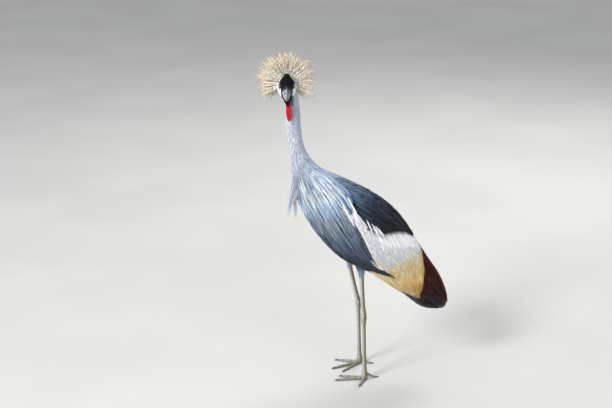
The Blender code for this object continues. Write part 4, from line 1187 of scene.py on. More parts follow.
r = scatter(1500, 3.6, 12.2, -1.0, 1.0, sf=breast_sf)
u, q = r.T
L, w = plume_size(u)
bu = lambda u, q: body_uv(u, ((1 + q * (1 - f_at(FLANK_LOWER, u)) + 1) % 2) - 1)
bc = lambda u, q: grey(u, 1 - np.abs(q) * (1 - f_at(FLANK_LOWER, u)))
bc2 = streaked(lambda u, q: mix(bc(u, q), srgb(30, 38, 54), 0.65 * ease((u - 8.5) / 2.5)), 0.8, lambda u, q: grain(q * 0.5, u, 91, 9.0, 42.0, 0.35))
a = groom(u, q, along, np.minimum(L * 0.8, (13.4 - u) * 0.034), w, 0.00035, 6, np.interp(u, [3.5, 6, 8], [-0.005, -0.0085, -0.010]), 0.0004, bc2,
          m=1, camber=0.35, sf=breast_sf, uv=bu, sway=0.05, lock=0.05, u_max=13.6, shade=0.18, bow=0.8)
coat("coat_breast", [a], M_PLUME, replaces=("breast",))


# --- dark mantle between the shoulders and down the back
def in_mantle(u, f):
    return (np.abs(f) < f_at(MANTLE_EDGE, u)) & (u < 12.45)


r = scatter(1900, 4.3, 12.2, -0.5, 0.5, weight=lambda u, f: (np.abs(f) < f_at(MANTLE_EDGE, u)) * np.interp(u, [4.3, 5.2], [0.5, 1.0]))
u, f = r.T
mc = lambda u, f: mix(grey(u, f), mantle_colour(u, f), ease((u - 4.4) / 1.4))
back_field = lambda u, f: grain(f, u, 71, 12.0, 60.0, 0.3)
a = groom(u, f, along, np.interp(u, [4.3, 7, 12], [0.052, 0.070, 0.056]), np.interp(u, [4.3, 6, 12], [0.0020, 0.0032, 0.0042]), 0.00035, 6,
          np.interp(u, [4.3, 6, 8], [-0.006, -0.009, -0.010]), 0.0014, streaked(mc, 0.40, back_field), streaked(mc, 0.40, back_field, 0.3),
          shape="lance", m=1, camber=0.25, sway=0.035, lock=0.05, u_max=12.6, inside=in_mantle, over=0.002, shade=0.10, bow=0.7)
coat("coat_mantle", [a], M_MANTLE, replaces=("mantle",))


# --- white coverts of the folded wings
def gold_part(u, deg):
    ub = np.interp(deg, [53, 66, 86, 102, 105, 125], [14.0, 13.5, 13.0, 12.5, 12.4, 12.2])
    return ease((u - ub + 0.9) / 1.5)


def white_colour(u, f):
    deg = deg_of(u, np.abs(f))
    g = np.clip(gold_part(u, deg) + 0.28 * wave(u, f, 2.6, 31) - 0.10, 0, 1)
    c = mix(np.broadcast_to(WHITE_C, u.shape + (3,)), CREAM_C, ease(g / 0.5))
    c = mix(c, GOLD_C, ease((g - 0.55) / 0.5))
    return c * (1 - 0.07 * np.maximum(grain(u - deg / 14.0, f, 35, 0.8, 5.0, 0.6), 0))[..., None]


def white_way(u, f, p, t, tu, tf):
    w = ease((u - 8.0) / 2.2)
    return mix(unit(tu), np.array((0.0, 0.44, -0.90)), w)


GOLD_LOWER = [(12.4, 146), (13.0, 147), (13.8, 138), (14.4, 129), (15.0, 124), (15.6, 118), (16.0, 113), (16.5, 108)]


def in_white(u, f):
    a = np.abs(f)
    quills = (a > f_at(CHESTNUT_LOWER, u, -1.5)) & (a < f_at(GOLD_LOWER, u, -4.0))
    return ((a < f_at(WHITE_LOWER, u, 2.0)) | (u > 12.0)) & ((a > f_at(MANTLE_EDGE, u, -4.5)) | (u > 9.35)) & (quills | (u < 12.4))


def aimed(u0, d0, u1, d1, side):
    """Direction from one (station, degrees) to another over the body."""
    a, b = surf_deg(u0, d0, 0.0), surf_deg(u1, d1, 0.0)
    v = unit(b - a) * np.array((side, 1.0, 1.0))
    return toward(*v)


white_only = lambda u, f: np.broadcast_to(WHITE_C, u.shape + (3,))
for tag, side in (("left", 1), ("right", -1)):
    panel = lambda u, f: ((f > frac_of(u, table(MANTLE_EDGE, u) - np.interp(u, [8.6, 9.4], [3.5, 7.0]))) * (f < f_at(WHITE_LOWER, u, -1.0)) * ease((u - 7.45) / 0.3)
                          * np.interp(u, [7, 9], [2.5, 1.0]))
    r = scatter(1250, 7.3, 13.7, 0.08, 0.80, weight=panel)
    u, f = r.T
    f = f * side
    a = groom(u, f, white_way, np.interp(u, [7, 8, 11, 13.7], [0.034, 0.052, 0.078, 0.080]), np.interp(u, [7, 8.5, 12], [0.0022, 0.0034, 0.0046]), 0.00018, 6,
              np.interp(u, [6, 8, 13], [-0.007, -0.009, -0.009]), 0.0008, white_colour, white_colour, shape="lance", m=1,
              camber=0.05, sway=0.035, lock=0.05, u_max=16.4, inside=in_white, over=0.005, bow=0.8, least=0.014)
    r = scatter(1150, 8.8, 13.7, 0.1, 0.80,
                weight=lambda u, f: (f > f_at(MANTLE_EDGE, u, -3.0)) * (f < f_at(WHITE_LOWER, u, -3.0)))
    u, f = r.T
    f = f * side
    b = groom(u, f, white_way, 0.080, 0.0011, 0.00010, 4, -0.004, 0.0010, white_colour, white_colour, shape="hair", blade=True,
              camber=0.1, sway=0.045, lock=0.06, u_max=16.4, inside=in_white, over=0.010, bow=0.7, least=0.014)
    parts = [a, b]
    # the two narrow streaks that lead into the panel, and the notches in the mantle's hem
    for (u0, d0), (u1, d1), k, wd, spread in (((6.72, 71.0), (7.95, 84.0), 46, 0.0013, 0.9), ((6.80, 55.5), (8.15, 75.5), 50, 0.0015, 1.0)):
        q = rng.random(k)
        su = u0 + (u1 - u0) * q
        sd = d0 + (d1 - d0) * q + rng.normal(0, spread, k) * (0.4 + q)
        parts.append(groom(su, frac_of(su, sd) * side, aimed(u0, d0, u1, d1, side), 0.030, wd, 0.0003, 6, 0.0006, 0.0026, white_only,
                           shape="lance", m=1, camber=0.2, sway=0.04, lock=0.0, bow=0.6))
    for way3, q1, spread, k, L, wd in ((((8.44, 64.0), (8.92, 71.5), (9.50, 77.0)), 0.60, 0.35, 11, 0.046, 0.0007),
                                      (((8.82, 64.5), (9.22, 69.0), (9.72, 72.5)), 0.90, 1.1, 30, 0.036, 0.0009),
                                      (((8.95, 65.0), (9.45, 67.5), (10.15, 70.0)), 0.90, 1.1, 24, 0.036, 0.0009)):
        q = np.sqrt(rng.random(k)) * q1
        (ua, da), (ub, db), (uc, dc) = way3
        su = ua + (ub - ua) * q * 2 * 0.5 + rng.normal(0, 0.03, k)
        sd = da + (db - da) * q * 2 * 0.5 + rng.normal(0, spread, k) * (0.5 + q)
        w0, w1 = aimed(ua, da, ub, db, side), aimed(ub, db, uc, dc, side)
        bend = lambda u, f, p, t, tu, tf, w0=w0, w1=w1: mix(w0(u, f, p, t, tu, tf), w1(u, f, p, t, tu, tf), np.full(len(u), float(t)))
        parts.append(groom(su, frac_of(su, sd) * side, bend, L, wd, 0.0003, 8, -0.0034, 0.0036, white_only,
                           shape="hair", blade=True, camber=0.15, sway=0.04, lock=0.0, bow=0.6))
    # pale rim feathers that fall over the brown quills
    k = 130
    su = rng.uniform(12.35, 13.75, k)
    sd = table(CHESTNUT_LOWER, su) + rng.normal(2.0, 2.4, k)
    parts.append(groom(su, frac_of(su, sd) * side, toward(0, 0.40, -0.92), np.interp(su, [12.3, 13.8], [0.040, 0.030]), 0.0009, 0.00022, 6, -0.0010, 0.0024,
                       white_colour, white_colour, shape="hair", blade=True, camber=0.15, sway=0.07, lock=0.05, bow=0.6))
    coat("coat_white_" + tag, parts, M_WHITE, replaces=("wing_" + tag,))

# --- golden hair-like plumes that hang over the folded quills

def gold_colour(u, f):
    deg = deg_of(u, np.abs(f))
    w = 0.55 * wave(u, f, 3.0, 41) + 0.45 * grain(u - deg / 16.0, f, 43, 0.9, 5.0, 0.6)
    mid = np.exp(-((deg - 92) / 20.0) ** 2) * 0.5
    c = mix(np.broadcast_to(GOLD_C, u.shape + (3,)), CREAM_C, np.clip(0.72 + 0.8 * w - mid, 0, 1))
    c = mix(c, srgb(224, 170, 72), 0.6 * ease(mid * 1.3 - 0.1 - w))
    brown = ease((frac_of(u, deg) - f_at(CHESTNUT_LOWER, u) - 0.00) / -0.10 + 0.9) * (rng.random(len(u)) < 0.35)
    return mix(c, srgb(150, 98, 52), brown * 0.7)


def gold_tip(u, f):
    return gold_colour(u, f) * np.array((0.97, 0.91, 0.82))


def in_gold(u, f):
    a = np.abs(f)
    edge = frac_of(u, np.clip(table(CHESTNUT_LOWER, u) + np.interp(u, [13.8, 14.6, 15.5], [-1.0, -15.0, -13.0]), 0, 180))
    return (a < f_at(GOLD_LOWER, u)) & (a > edge) | (u < 12.4)


def gold_way(u, f, p, t, tu, tf):
    d = deg_of(u, np.abs(f)) - table(CHESTNUT_LOWER, u)
    lean = np.interp(d, [0.0, 30.0], [0.10, 0.36])
    return np.stack([0 * lean, lean, -0.94 + 0 * lean], -1)


for tag, side in (("left", 1), ("right", -1)):
    r = scatter(2500, 11.3, 15.6, 0.2, 0.85,
                weight=lambda u, f: (gold_part(u, deg_of(u, f)) > 0.28 + 0.2 * wave(u, f, 3.0, 77)) * (f > f_at(CHESTNUT_LOWER, u, -2.0))
                * (f < f_at(GOLD_LOWER, u, -8.0)) * ((f > f_at(WHITE_LOWER, u, -30)) | (u > 12.3)) * (f < f_at([(11.0, 105), (12.0, 109.5), (12.45, 113), (12.6, 150), (16, 150)], u)))
    u, f = r.T
    f = f * side
    a = groom(u, f, gold_way, 0.094, 0.0009, 0.00022, 5, -0.006, 0.0024, gold_colour, gold_tip, shape="hair", blade=True,
              camber=0.1, sway=0.055, lock=0.07, u_max=16.6, inside=in_gold, over=0.012, shade=0.08, bow=0.7, least=0.030)
    r = scatter(560, 11.8, 15.6, 0.2, 0.85,
                weight=lambda u, f: (f > f_at(CHESTNUT_LOWER, u, 0.0)) * (f < f_at(GOLD_LOWER, u, -8.0)) * (u > 12.3))
    u, f = r.T
    f = f * side
    b = groom(u, f, gold_way, 0.075, 0.0034, 0.00030, 6, -0.010, -0.0010, gold_colour, gold_tip, shape="lance", m=1,
              camber=0.2, sway=0.05, lock=0.06, u_max=16.6, inside=in_gold, over=0.006, shade=0.06, least=0.024)
    # the strands that close the border with the brown quills
    k = 230
    su = rng.uniform(13.3, 15.0, k)
    sd = table(CHESTNUT_LOWER, su) + rng.normal(3.0, 2.6, k)
    c = groom(su, frac_of(su, sd) * side, toward(0, 0.26, -0.95), np.interp(su, [13.3, 15.0], [0.032, 0.038]), 0.0010, 0.00022, 6, -0.0010, 0.0026,
              gold_colour, gold_tip, shape="hair", blade=True, camber=0.15, sway=0.06, lock=0.05, shade=0.08, bow=0.6)
    # pale fluff that shows below the flank's dark point
    k = 300
    su = 11.3 + 1.6 * rng.random(k) ** 0.8
    lo = table(FLANK_LOWER, su) + 1.5
    sd = lo + (np.maximum(147.0, lo + 4.0) - lo) * rng.random(k)
    pale = lambda u, f: mix(gold_colour(u, f), CREAM_C * 0.9, 0.7 * ease((13.2 - u) / 1.2))
    d = groom(su, frac_of(su, sd) * side, toward(0, 0.46, -0.89), 0.050, 0.0010, 0.00022, 6, -0.0015, 0.0030, pale, gold_tip,
              shape="hair", blade=True, camber=0.15, sway=0.07, lock=0.06, shade=0.08, bow=0.7)
    coat("coat_gold_" + tag, [a, b, c, d], M_GOLD, replaces=("gold_plumes_" + tag,))


# --- chestnut secondaries, black primaries and tail
def chest_sf(side):
    def sf(u, q, off):
        return surf(u, side * q * f_at(CHESTNUT_LOWER, u), off)
    return sf


BLACK_LOWER = [(15.0, 130), (16.0, 136), (17.0, 158), (18.0, 160), (19.0, 150), (19.5, 134), (20, 120)]


def black_sf(side):
    def sf(u, q, off):
        a, b = f_at(CHESTNUT_LOWER, u), f_at(BLACK_LOWER, u)
        return surf(u, side * (a + (np.maximum(b, a + 0.05) - a) * q), off)
    return sf


def chest_colour(u, q):
    c = mix(np.broadcast_to(CHEST_C, u.shape + (3,)), CHEST_RED, ease((0.26 - q) / 0.26) * ease((u - 13.0) / 2) * 0.9)
    return mix(c, CHEST_TAN, ease((14.0 - u) / 1.4) * ease((0.9 - q) / 0.5) * 0.65)


def chest_tip(u, q):
    c = chest_colour(u, q)
    return mix(c, BLACK_C, ease((q - 0.16) / 0.4) * ease((u - 16.2) / 2.2) * 0.9)


for tag, side in (("left", 1), ("right", -1)):
    sf = chest_sf(side)
    uvf = lambda u, q, side=side: body_uv(u, side * q * f_at(CHESTNUT_LOWER, u))
    q = np.linspace(0.03, 0.97, 17)
    u0 = 12.9 + 1.6 * q + rng.normal(0, 0.08, 17)
    end = np.interp(q, [0, 0.35, 0.7, 1.0], [19.7, 19.85, 19.3, 17.9]) + rng.uniform(-0.2, 0.08, 17)
    n = len(q)
    L = (end - u0) * np.interp(q, [0, 1], [0.0345, 0.0330])
    a = groom(u0, q, along, L, 0.0105, 0.00045, 26, -0.010, np.linspace(0.0, -0.0030, n), chest_colour, chest_tip, shape="quill", m=5,
              camber=0.16, sf=sf, uv=uvf, sway=0.012, lock=0.0, u_max=19.93, shade=0.10, bow=0.6)
    q = rng.uniform(0.02, 0.98, 120)
    u0 = rng.uniform(12.4, 16.6, 120)
    b = groom(u0, q, along, np.interp(u0, [12.3, 16.6], [0.070, 0.085]), 0.0052, 0.00035, 10, -0.008, 0.0010, chest_colour, chest_tip,
              shape="round", m=2, camber=0.2, sf=sf, uv=uvf, sway=0.03, lock=0.03, u_max=19.6, shade=0.14, bow=0.7)
    r = scatter(900, 12.4, 17.8, 0.0, 1.0, sf=sf)
    u, q = r.T
    c = groom(u, q, along, 0.055, 0.0009, 0.0003, 5, -0.003, 0.0016, chest_colour, chest_tip, shape="hair", blade=True,
              camber=0.1, sf=sf, uv=uvf, sway=0.05, lock=0.05, u_max=19.8, shade=0.25, bow=0.7)
    coat("coat_secondaries_" + tag, [a, b, c], M_CHEST, replaces=("secondaries_" + tag,))

    sf = black_sf(side)
    uvf = lambda u, q, side=side: body_uv(u, side * (f_at(CHESTNUT_LOWER, u) * (1 - q) + q * f_at(BLACK_LOWER, u)))
    q = np.linspace(-0.25, 0.95, 9)
    u0 = np.full(9, 14.8) + rng.normal(0, 0.1, 9)
    end = np.interp(q, [-0.25, 0.3, 1], [19.7, 19.5, 18.9]) + rng.normal(0, 0.1, 9)
    black = lambda u, q: np.broadcast_to(BLACK_C, u.shape + (3,))
    a = groom(u0, q, along, (end - u0) * 0.030, 0.0080, 0.00045, 22, -0.012, np.linspace(-0.003, -0.0008, 9), black, black, shape="quill", m=5,
              camber=0.16, sf=sf, uv=uvf, sway=0.012, lock=0.0, u_max=20.0, shade=0.12, bow=0.6)
    r = scatter(260, 14.6, 18.6, -0.1, 1.0, sf=sf)
    u, q = r.T
    b = groom(u, q, along, 0.045, 0.0034, 0.0003, 8, -0.010, -0.0006, black, black, shape="lance", m=1, camber=0.2, sf=sf, uv=uvf,
              sway=0.04, u_max=19.7, shade=0.15)
    coat("coat_primaries_" + tag, [a, b], M_BLACK, replaces=("primaries_" + tag,))

q = np.linspace(-0.80, 0.80, 15)
tail_c = lambda u, f: np.broadcast_to(BLACK_C * 0.9, u.shape + (3,))
a = groom(np.full(15, 13.2), q, along, 0.218 - 0.03 * np.abs(q), 0.0125, 0.0005, 20, -0.030, -0.0075, tail_c, tail_c, shape="quill", m=3, camber=0.1,
          sway=0.01, lock=0.0, u_max=19.75, shade=0.1)
r = scatter(900, 12.2, 18.2, 0.67, 1.33)
u, f = r.T
f = np.where(f > 1, f - 2, f)
under = lambda u, f: mix(np.broadcast_to(srgb(74, 84, 102), u.shape + (3,)), srgb(40, 44, 56), ease((u - 12.6) / 3.0))
b = groom(u, f, along, 0.055, 0.0034, 0.0003, 5, -0.010, -0.0005, under, under, shape="lance", m=1, camber=0.25, sway=0.06, u_max=19.4, shade=0.12)
e = 44
eu, ef = rng.uniform(16.2, 17.6, e), np.linspace(-0.98, 0.98, e)
end_c = lambda u, f: mix(np.broadcast_to(BLACK_C, u.shape + (3,)), CHEST_RED * 0.8, ease((0.16 - np.abs(f)) / 0.12))
c = groom(eu, ef, along, (19.9 - eu) * 0.0335, 0.0075, 0.0004, 12, -0.012, -0.0040, end_c, end_c, shape="round", m=2, camber=0.12,
          sway=0.02, lock=0.0, u_max=19.96, shade=0.1)
coat("coat_tail", [a, b, c], M_BLACK, replaces=("tail",))


# --- feathered thighs
def thigh_sf(tag):
    knee, hip = (np.array(x) for x in LEGS[tag][:2])

    def sf(u, f, off):
        u, f, off = np.broadcast_arrays(np.asarray(u, float), np.asarray(f, float), np.asarray(off, float))
        r = (0.0245 - 0.0150 * ease((u - 0.15) / 0.85)) + off
        c = hip + (knee - hip) * u[..., None]
        out = c + np.stack([r * np.sin(pi * f), -r * np.cos(pi * f), 0 * r], -1)
        return out
    return sf


for tag, side in (("left", 1), ("right", -1)):
    sf = thigh_sf(tag)
    r = scatter(950, 0.0, 0.90, -1.0, 1.0, sf=sf)
    u, f = r.T
    tc = lambda u, f: mix(np.broadcast_to(FLANK_C, u.shape + (3,)), THIGH_C * (1 + 0.08 * np.sin(9 * f))[:, None], ease((u - 0.30) / 0.35))
    a = groom(u, f, toward(0, 0, -1), np.interp(u, [0, 0.6, 0.9], [0.028, 0.024, 0.0135]), 0.0015, 0.0003, 5, -0.0036, np.interp(u, [0, 0.9], [0.0004, -0.0014]), tc, shape="lance", blade=True, camber=0.2,
              sf=sf, uv=lambda u, f: np.stack([0.5 + 0.48 * f, 0.95 - 0.9 * u], -1), sway=0.08, lock=0.08, u_max=1.22, shade=0.10)
    coat("coat_thigh_" + tag, [a], M_NECK)

# --- loose plumes that hang from the front of the lower neck
n = 260
cl = rng.integers(0, 9, n)
cx = rng.uniform(-0.020, 0.022, 9)
cy = np.array((-0.2345, -0.2330, -0.2300, -0.2260, -0.2200, -0.2120, -0.2085, -0.2070, -0.2150))
cz = np.array((0.5060, 0.5150, 0.5280, 0.5450, 0.5500, 0.5080, 0.5020, 0.5230, 0.5400))
ru = rng.uniform(3.8, 5.3, n)
rf = 1 + np.clip(rng.normal(0, 0.12, n), -0.20, 0.20)
rf = np.where(rf > 1, rf - 2, rf)
root = surf(ru, rf, -0.003)
_, _, nn = surf_frame(ru, rf)
tipx = np.clip(cx[cl] + rng.normal(0, 0.0045, n), -0.030, 0.030)
tip = np.stack([tipx, np.clip(cy[cl] + rng.normal(0, 0.0022, n), -0.240, -0.203), np.clip(cz[cl] + np.abs(rng.normal(0, 0.016, n)), 0.499, 0.60)], -1)
t = np.linspace(0, 1, 8)[None, :, None]
mid = (root + tip) / 2 + nn * rng.uniform(0.001, 0.007, n)[:, None]
P = root[:, None] * (1 - t) ** 2 + 2 * mid[:, None] * t * (1 - t) + tip[:, None] * t ** 2
P[..., 1] += 0.0012 * np.sin(9 * t[..., 0] + rng.uniform(0, 6.3, n)[:, None]) * t[..., 0]
prof = np.maximum(SHAPES["hair"](np.linspace(0, 1, 8)), 0.06)
c0 = mix(np.broadcast_to(PALE_C, (n, 3)), SHOULDER_C, rng.uniform(0.0, 0.35, n))
fr = vane_arrays(P, np.broadcast_to(nn[:, None], P.shape), 0.0008 * prof[None] * rng.uniform(0.8, 1.3, n)[:, None],
                 0.0003 * prof[None] * np.ones((n, 1)), camber=0.1, root_uv=body_uv(ru, rf), c0=c0, c1=c0 * 0.95,
                 rnd=rng.random(n), blade=True)
coat("coat_fringe", [fr], M_NECK, replaces=("neck_fringe",))


# ==================================================================== head
def head_uv(u, f):
    return np.stack([0.5 + 0.46 * f, 0.97 - 0.094 * u], -1)


def velvet_colour(u, f):
    return head_paint(head_sf(u, f, 0.0))


r = scatter(7800, 0.0, 9.9, -1.0, 1.0, sf=head_sf)
u, f = r.T
p = head_sf(u, f, 0.0)
near_eye = np.min([np.linalg.norm(p - c, axis=1) for c in EYE_C], axis=0)
d_ax = np.max([((p - c) @ a) for c, a in zip(EYE_C, EYE_AXIS)], axis=0)
keep = (cheek_mask(p) < 0.35) & (near_eye > 0.0088)
h, l, v = head_coords(p)
keep &= ~((h > 0.0325))
u, f, p = u[keep], f[keep], p[keep]
back = toward(*(-FWD))
near_cheek = cheek_mask(p - 0.0040 * FWD)
a = groom(u, f, lambda uu, ff, pp, t, tu, tf: tu, np.interp(u, [0, 1.5, 4, 10], [0.0030, 0.0042, 0.0056, 0.0090]) * (1 - 0.55 * near_cheek),
          np.interp(u, [0, 3, 10], [0.00045, 0.0006, 0.0010]), 0.00020, 2, -0.0030, np.interp(u, [0, 1, 10], [-0.0002, 0.0004, 0.0006]), velvet_colour,
          shape="lance", blade=True, camber=0.1, sf=head_sf, uv=head_uv, sway=0.10, lock=0.10, u_max=10.4, shade=0.12, jit=0.0002)
# black feathers of the chin, hanging over the root of the wattle
k = 620
ch = rng.uniform(0.012, 0.0315, k)
cl_ = np.clip(rng.normal(0, 0.0068, k), -0.015, 0.015)
ct = pi - np.clip(cl_ / 0.019, -1.0, 1.0)
root = skull_sf(ch, ct, -0.0026)
tipz = 0.8665 + 1.7 * np.abs(cl_) + np.abs(rng.normal(0, 0.0050, k))
drop = np.maximum(root[:, 2] - tipz, 0.007)
fh = (0.0222 + 0.002 * rng.random(k) - ch) * np.exp(-(cl_ / 0.009) ** 2)
flat_fwd = unit(np.array((FWD[0], FWD[1], 0.0)))
tp = root + np.stack([0 * drop, 0 * drop, -drop], -1) + flat_fwd * (fh + 0.002)[:, None] + LAT * (0.0035 * drop / 0.035 - cl_ * 0.25)[:, None]
t = np.linspace(0, 1, 4)[None, :, None]
md = root + flat_fwd * fh[:, None] + np.stack([0 * drop, 0 * drop, -0.25 * drop], -1)
P = root[:, None] * (1 - t) ** 2 + 2 * md[:, None] * t * (1 - t) + tp[:, None] * t ** 2
outw = unit(root - HEAD - UPV * 0.004)
prof = np.maximum(SHAPES["lance"](np.linspace(0, 1, 4)), 0.07)
cc = np.tile(srgb(19, 20, 28), (k, 1))
b = vane_arrays(P, np.broadcast_to(unit(outw + FWD)[:, None], P.shape), 0.00075 * prof[None] * rng.uniform(0.8, 1.2, k)[:, None],
                0.00025 * prof[None] * np.ones((k, 1)), camber=0.1, root_uv=np.stack([0.5 + 4 * cl_, 0.02 + 2 * ch], -1), c0=cc, c1=cc,
                rnd=rng.random(k), blade=True)
coat("coat_head", [a, b], M_VELVET)

# --- crest: stiff twisted bristles standing all round the back of the head
AX = unit(-FWD * math.cos(CREST_RISE) + UPV * math.sin(CREST_RISE))
RS = unit(np.cross(LAT, AX))
if RS @ UPV < 0:
    RS = -RS
CREST_AT = on_head(-0.008, 0.0, 0.004)


def opening(al):
    s = np.sin(al)
    return np.radians(np.where(s >= 0, 90 - 20 * s, 90 + 18 * np.sin(pi * np.minimum(-s, 1)) - 16 * s * s))


bunch = 46
al_b = np.radians(270 + 24 + (360 - 48) * (np.arange(bunch) + rng.uniform(0.2, 0.8, bunch)) / bunch)
reach_b = CREST_REACH * rng.uniform(0.86, 1.05, bunch)
low = ease((-np.sin(al_b) - 0.35) / 0.5)
reach_b = reach_b * (1 - 0.20 * low)
n = 1560
b = rng.integers(0, bunch, n)
loose = rng.random(n) < 0.14
al = np.where(loose, np.radians(270 + 26 + (360 - 52) * rng.random(n)), al_b[b] + rng.normal(0, 0.0105, n))
depth = rng.random(n) ** 1.5
psi = opening(al) - np.radians(1.0 + 34 * depth) + rng.normal(0, 0.03, n)
rear = np.arange(n) > 950
al = np.where(rear, rng.uniform(0, 2 * pi, n), al)
psi = np.where(rear, opening(al) * np.sqrt(rng.random(n)) * 0.72, psi)
hub = np.arange(n) > 1330
psi = np.where(hub, opening(al) * rng.random(n) * 0.5, psi)
rr = np.where(loose, CREST_REACH * rng.uniform(0.42, 0.64, n), reach_b[b] * rng.uniform(0.80, 1.0, n)) * (1 - 0.08 * depth)
rr = np.where(rear, CREST_REACH * rng.uniform(0.50, 0.70, n), rr)
rr = np.where(hub, CREST_REACH * rng.uniform(0.30, 0.48, n), rr)
dirv = AX * np.cos(psi)[:, None] + (LAT * np.cos(al)[:, None] + RS * np.sin(al)[:, None]) * np.sin(psi)[:, None]
K = 7
t = np.linspace(0, 1, K)
r0 = 0.0180
bend = rng.normal(0, 0.0022, (n, 2))
side = unit(np.cross(dirv, AX + 0.01))
oth = np.cross(dirv, side)
ph = rng.uniform(0, 2 * pi, n)
rad = r0 + (rr - r0)[:, None] * t[None]
w1 = bend[:, :1] * t[None] ** 2 + 0.00035 * np.sin(t[None] * 16 + ph[:, None])
w2 = bend[:, 1:] * t[None] ** 2 + 0.00035 * np.cos(t[None] * 16 + ph[:, None])
P = CREST_AT + dirv[:, None] * rad[..., None] + side[:, None] * w1[..., None] + oth[:, None] * w2[..., None]
tw = t[None] * 5.0 + ph[:, None]
NN = side[:, None] * np.cos(tw)[..., None] + oth[:, None] * np.sin(tw)[..., None]
prof = np.interp(t, [0, 0.12, 0.6, 0.88, 1.0], [0.75, 1.0, 0.95, 0.72, 0.20])
bw = 0.00070 * prof[None] * rng.uniform(0.8, 1.25, n)[:, None]
crest_base, crest_mid = srgb(255, 252, 244), srgb(253, 240, 216)
uvr = np.stack([0.5 + 0.27 * np.cos(al) * psi, 0.5 + 0.27 * np.sin(al) * psi], -1)
cr = vane_arrays(P, NN, bw, bw * 0.75, camber=0.0, root_uv=uvr, c0=np.tile(crest_base, (n, 1)), c1=np.tile(crest_mid, (n, 1)),
                 rnd=rng.random(n), blade=True)
# pale at the head, straw outwards, dark at the very end
ft = cr["ft"]
tint = mix(np.tile(crest_base, (len(ft), 1)), crest_mid, ease((ft - 0.25) / 0.6))
cr["tint"] = mix(tint, srgb(120, 84, 54), ease((ft - 0.84) / 0.16) * 0.8)
coat("coat_crest", [cr], M_CREST, replaces=("crest",))

# --- bill
def build_bill():
    parts = {"upper": (1, 0.0130), "lower": (-1, 0.0095)}
    mat = horn_mat("bill_horn", rough=0.44, spec=0.28, coat_w=0.04)
    for tag, (sign, depth) in parts.items():
        S = np.linspace(0, 1, 64)
        n = 40
        rings, cols = [], []
        L = BILL_LENGTH - (0.004 if sign < 0 else 0.0)
        for s in S:
            h = BILL_BASE + L * s
            narrow = (1 - s) ** 0.55 * 0.90 + 0.10
            flat = -0.0045 - 0.0035 * s * s + sign * 0.00025
            dv = depth * ((1 - s) ** 0.75 * 0.86 + 0.14 * (1 - s * s) + 0.04)
            wl = 0.0145 * narrow
            th = np.linspace(0, pi, n)
            l = wl * np.cos(th)
            sn = np.sin(th)
            x1 = np.abs(np.cos(th))
            v = dv * (0.32 * sn ** 0.92 + 0.68 * (1 - x1) ** 0.85) if sign > 0 else dv * sn ** 0.92
            if sign > 0:
                ridge = np.exp(-(l / (0.0024 * narrow + 0.0004)) ** 2)
                v = v * (0.955 + 0.045 * ridge)
                # groove along the side with the nostril in it
                rel = v / dv
                g = np.exp(-((rel - 0.58) / 0.16) ** 2) * ease((s - 0.02) / 0.12) * ease((0.72 - s) / 0.25)
                nos = np.exp(-((rel - 0.56) / 0.11) ** 2) * np.exp(-((s - 0.40) / 0.085) ** 4)
                l = l - np.sign(l) * np.minimum(np.abs(l), 0.0010 * g + 0.0016 * nos)
            else:
                l = l * (1 - 0.05 * np.exp(-((sn - 0.5) / 0.2) ** 2))
                nos = np.zeros(n)
                g = np.zeros(n)
            # the base rounds off into the face
            fade = 1 - 0.05 * (1 - ease(s / 0.03))
            bottom_l = np.linspace(-wl, wl, 10)[1:-1]
            l = np.concatenate([l * fade, bottom_l * fade])
            vv = np.concatenate([flat + sign * v * fade, np.full(8, flat)])
            rings.append(on_head(h, l, vv))
            base = mix(np.broadcast_to(srgb(52, 55, 62), (n + 8, 3)), srgb(148, 158, 172), ease((s - 0.07) / 0.20))
            base = mix(base, srgb(104, 108, 114), ease((s - 0.75) / 0.25))
            top = np.concatenate([1 - 0.20 * ease((sn - 0.92) / 0.08), np.full(8, 0.5)])
            base = base * (top if sign > 0 else top * 0.8)[:, None]
            # painted light: the pale grey given above is a painted highlight of the lit side; here the half away from
            # the key light is darkened to about a quarter as painted shade, close to the horn's own dark slate
            base = base * (1 - 0.74 * ease((l / wl + 0.06) / 0.22) * float(ease(s / 0.1)))[:, None]
            dark = np.concatenate([nos, np.zeros(8)])
            base = mix(base, srgb(14, 14, 18), np.clip(dark * 1.2, 0, 1))
            cols.append(base)
        rings = np.array(rings)
        if sign < 0:
            rings, cols = rings[:, ::-1], [c[::-1] for c in cols]
        V, q, tr = closed_loft(rings, rings[0].mean(0), rings[-1].mean(0) + FWD * 0.0006)
        tint = np.concatenate([np.concatenate(cols), cols[0][:1], cols[-1][:1]])
        ob = put_mesh("bill_" + tag + "_horn", V, [q, tr], mat, tint)
        fix_normals(ob)
        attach(ob, "root")
        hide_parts("bill_" + tag)


def fix_normals(ob):
    bm = bmesh.new()
    bm.from_mesh(ob.data)
    bmesh.ops.recalc_face_normals(bm, faces=bm.faces)
    if bm.calc_volume(signed=True) < 0:
        bmesh.ops.reverse_faces(bm, faces=bm.faces)
    bm.to_mesh(ob.data)
    bm.free()


build_bill()


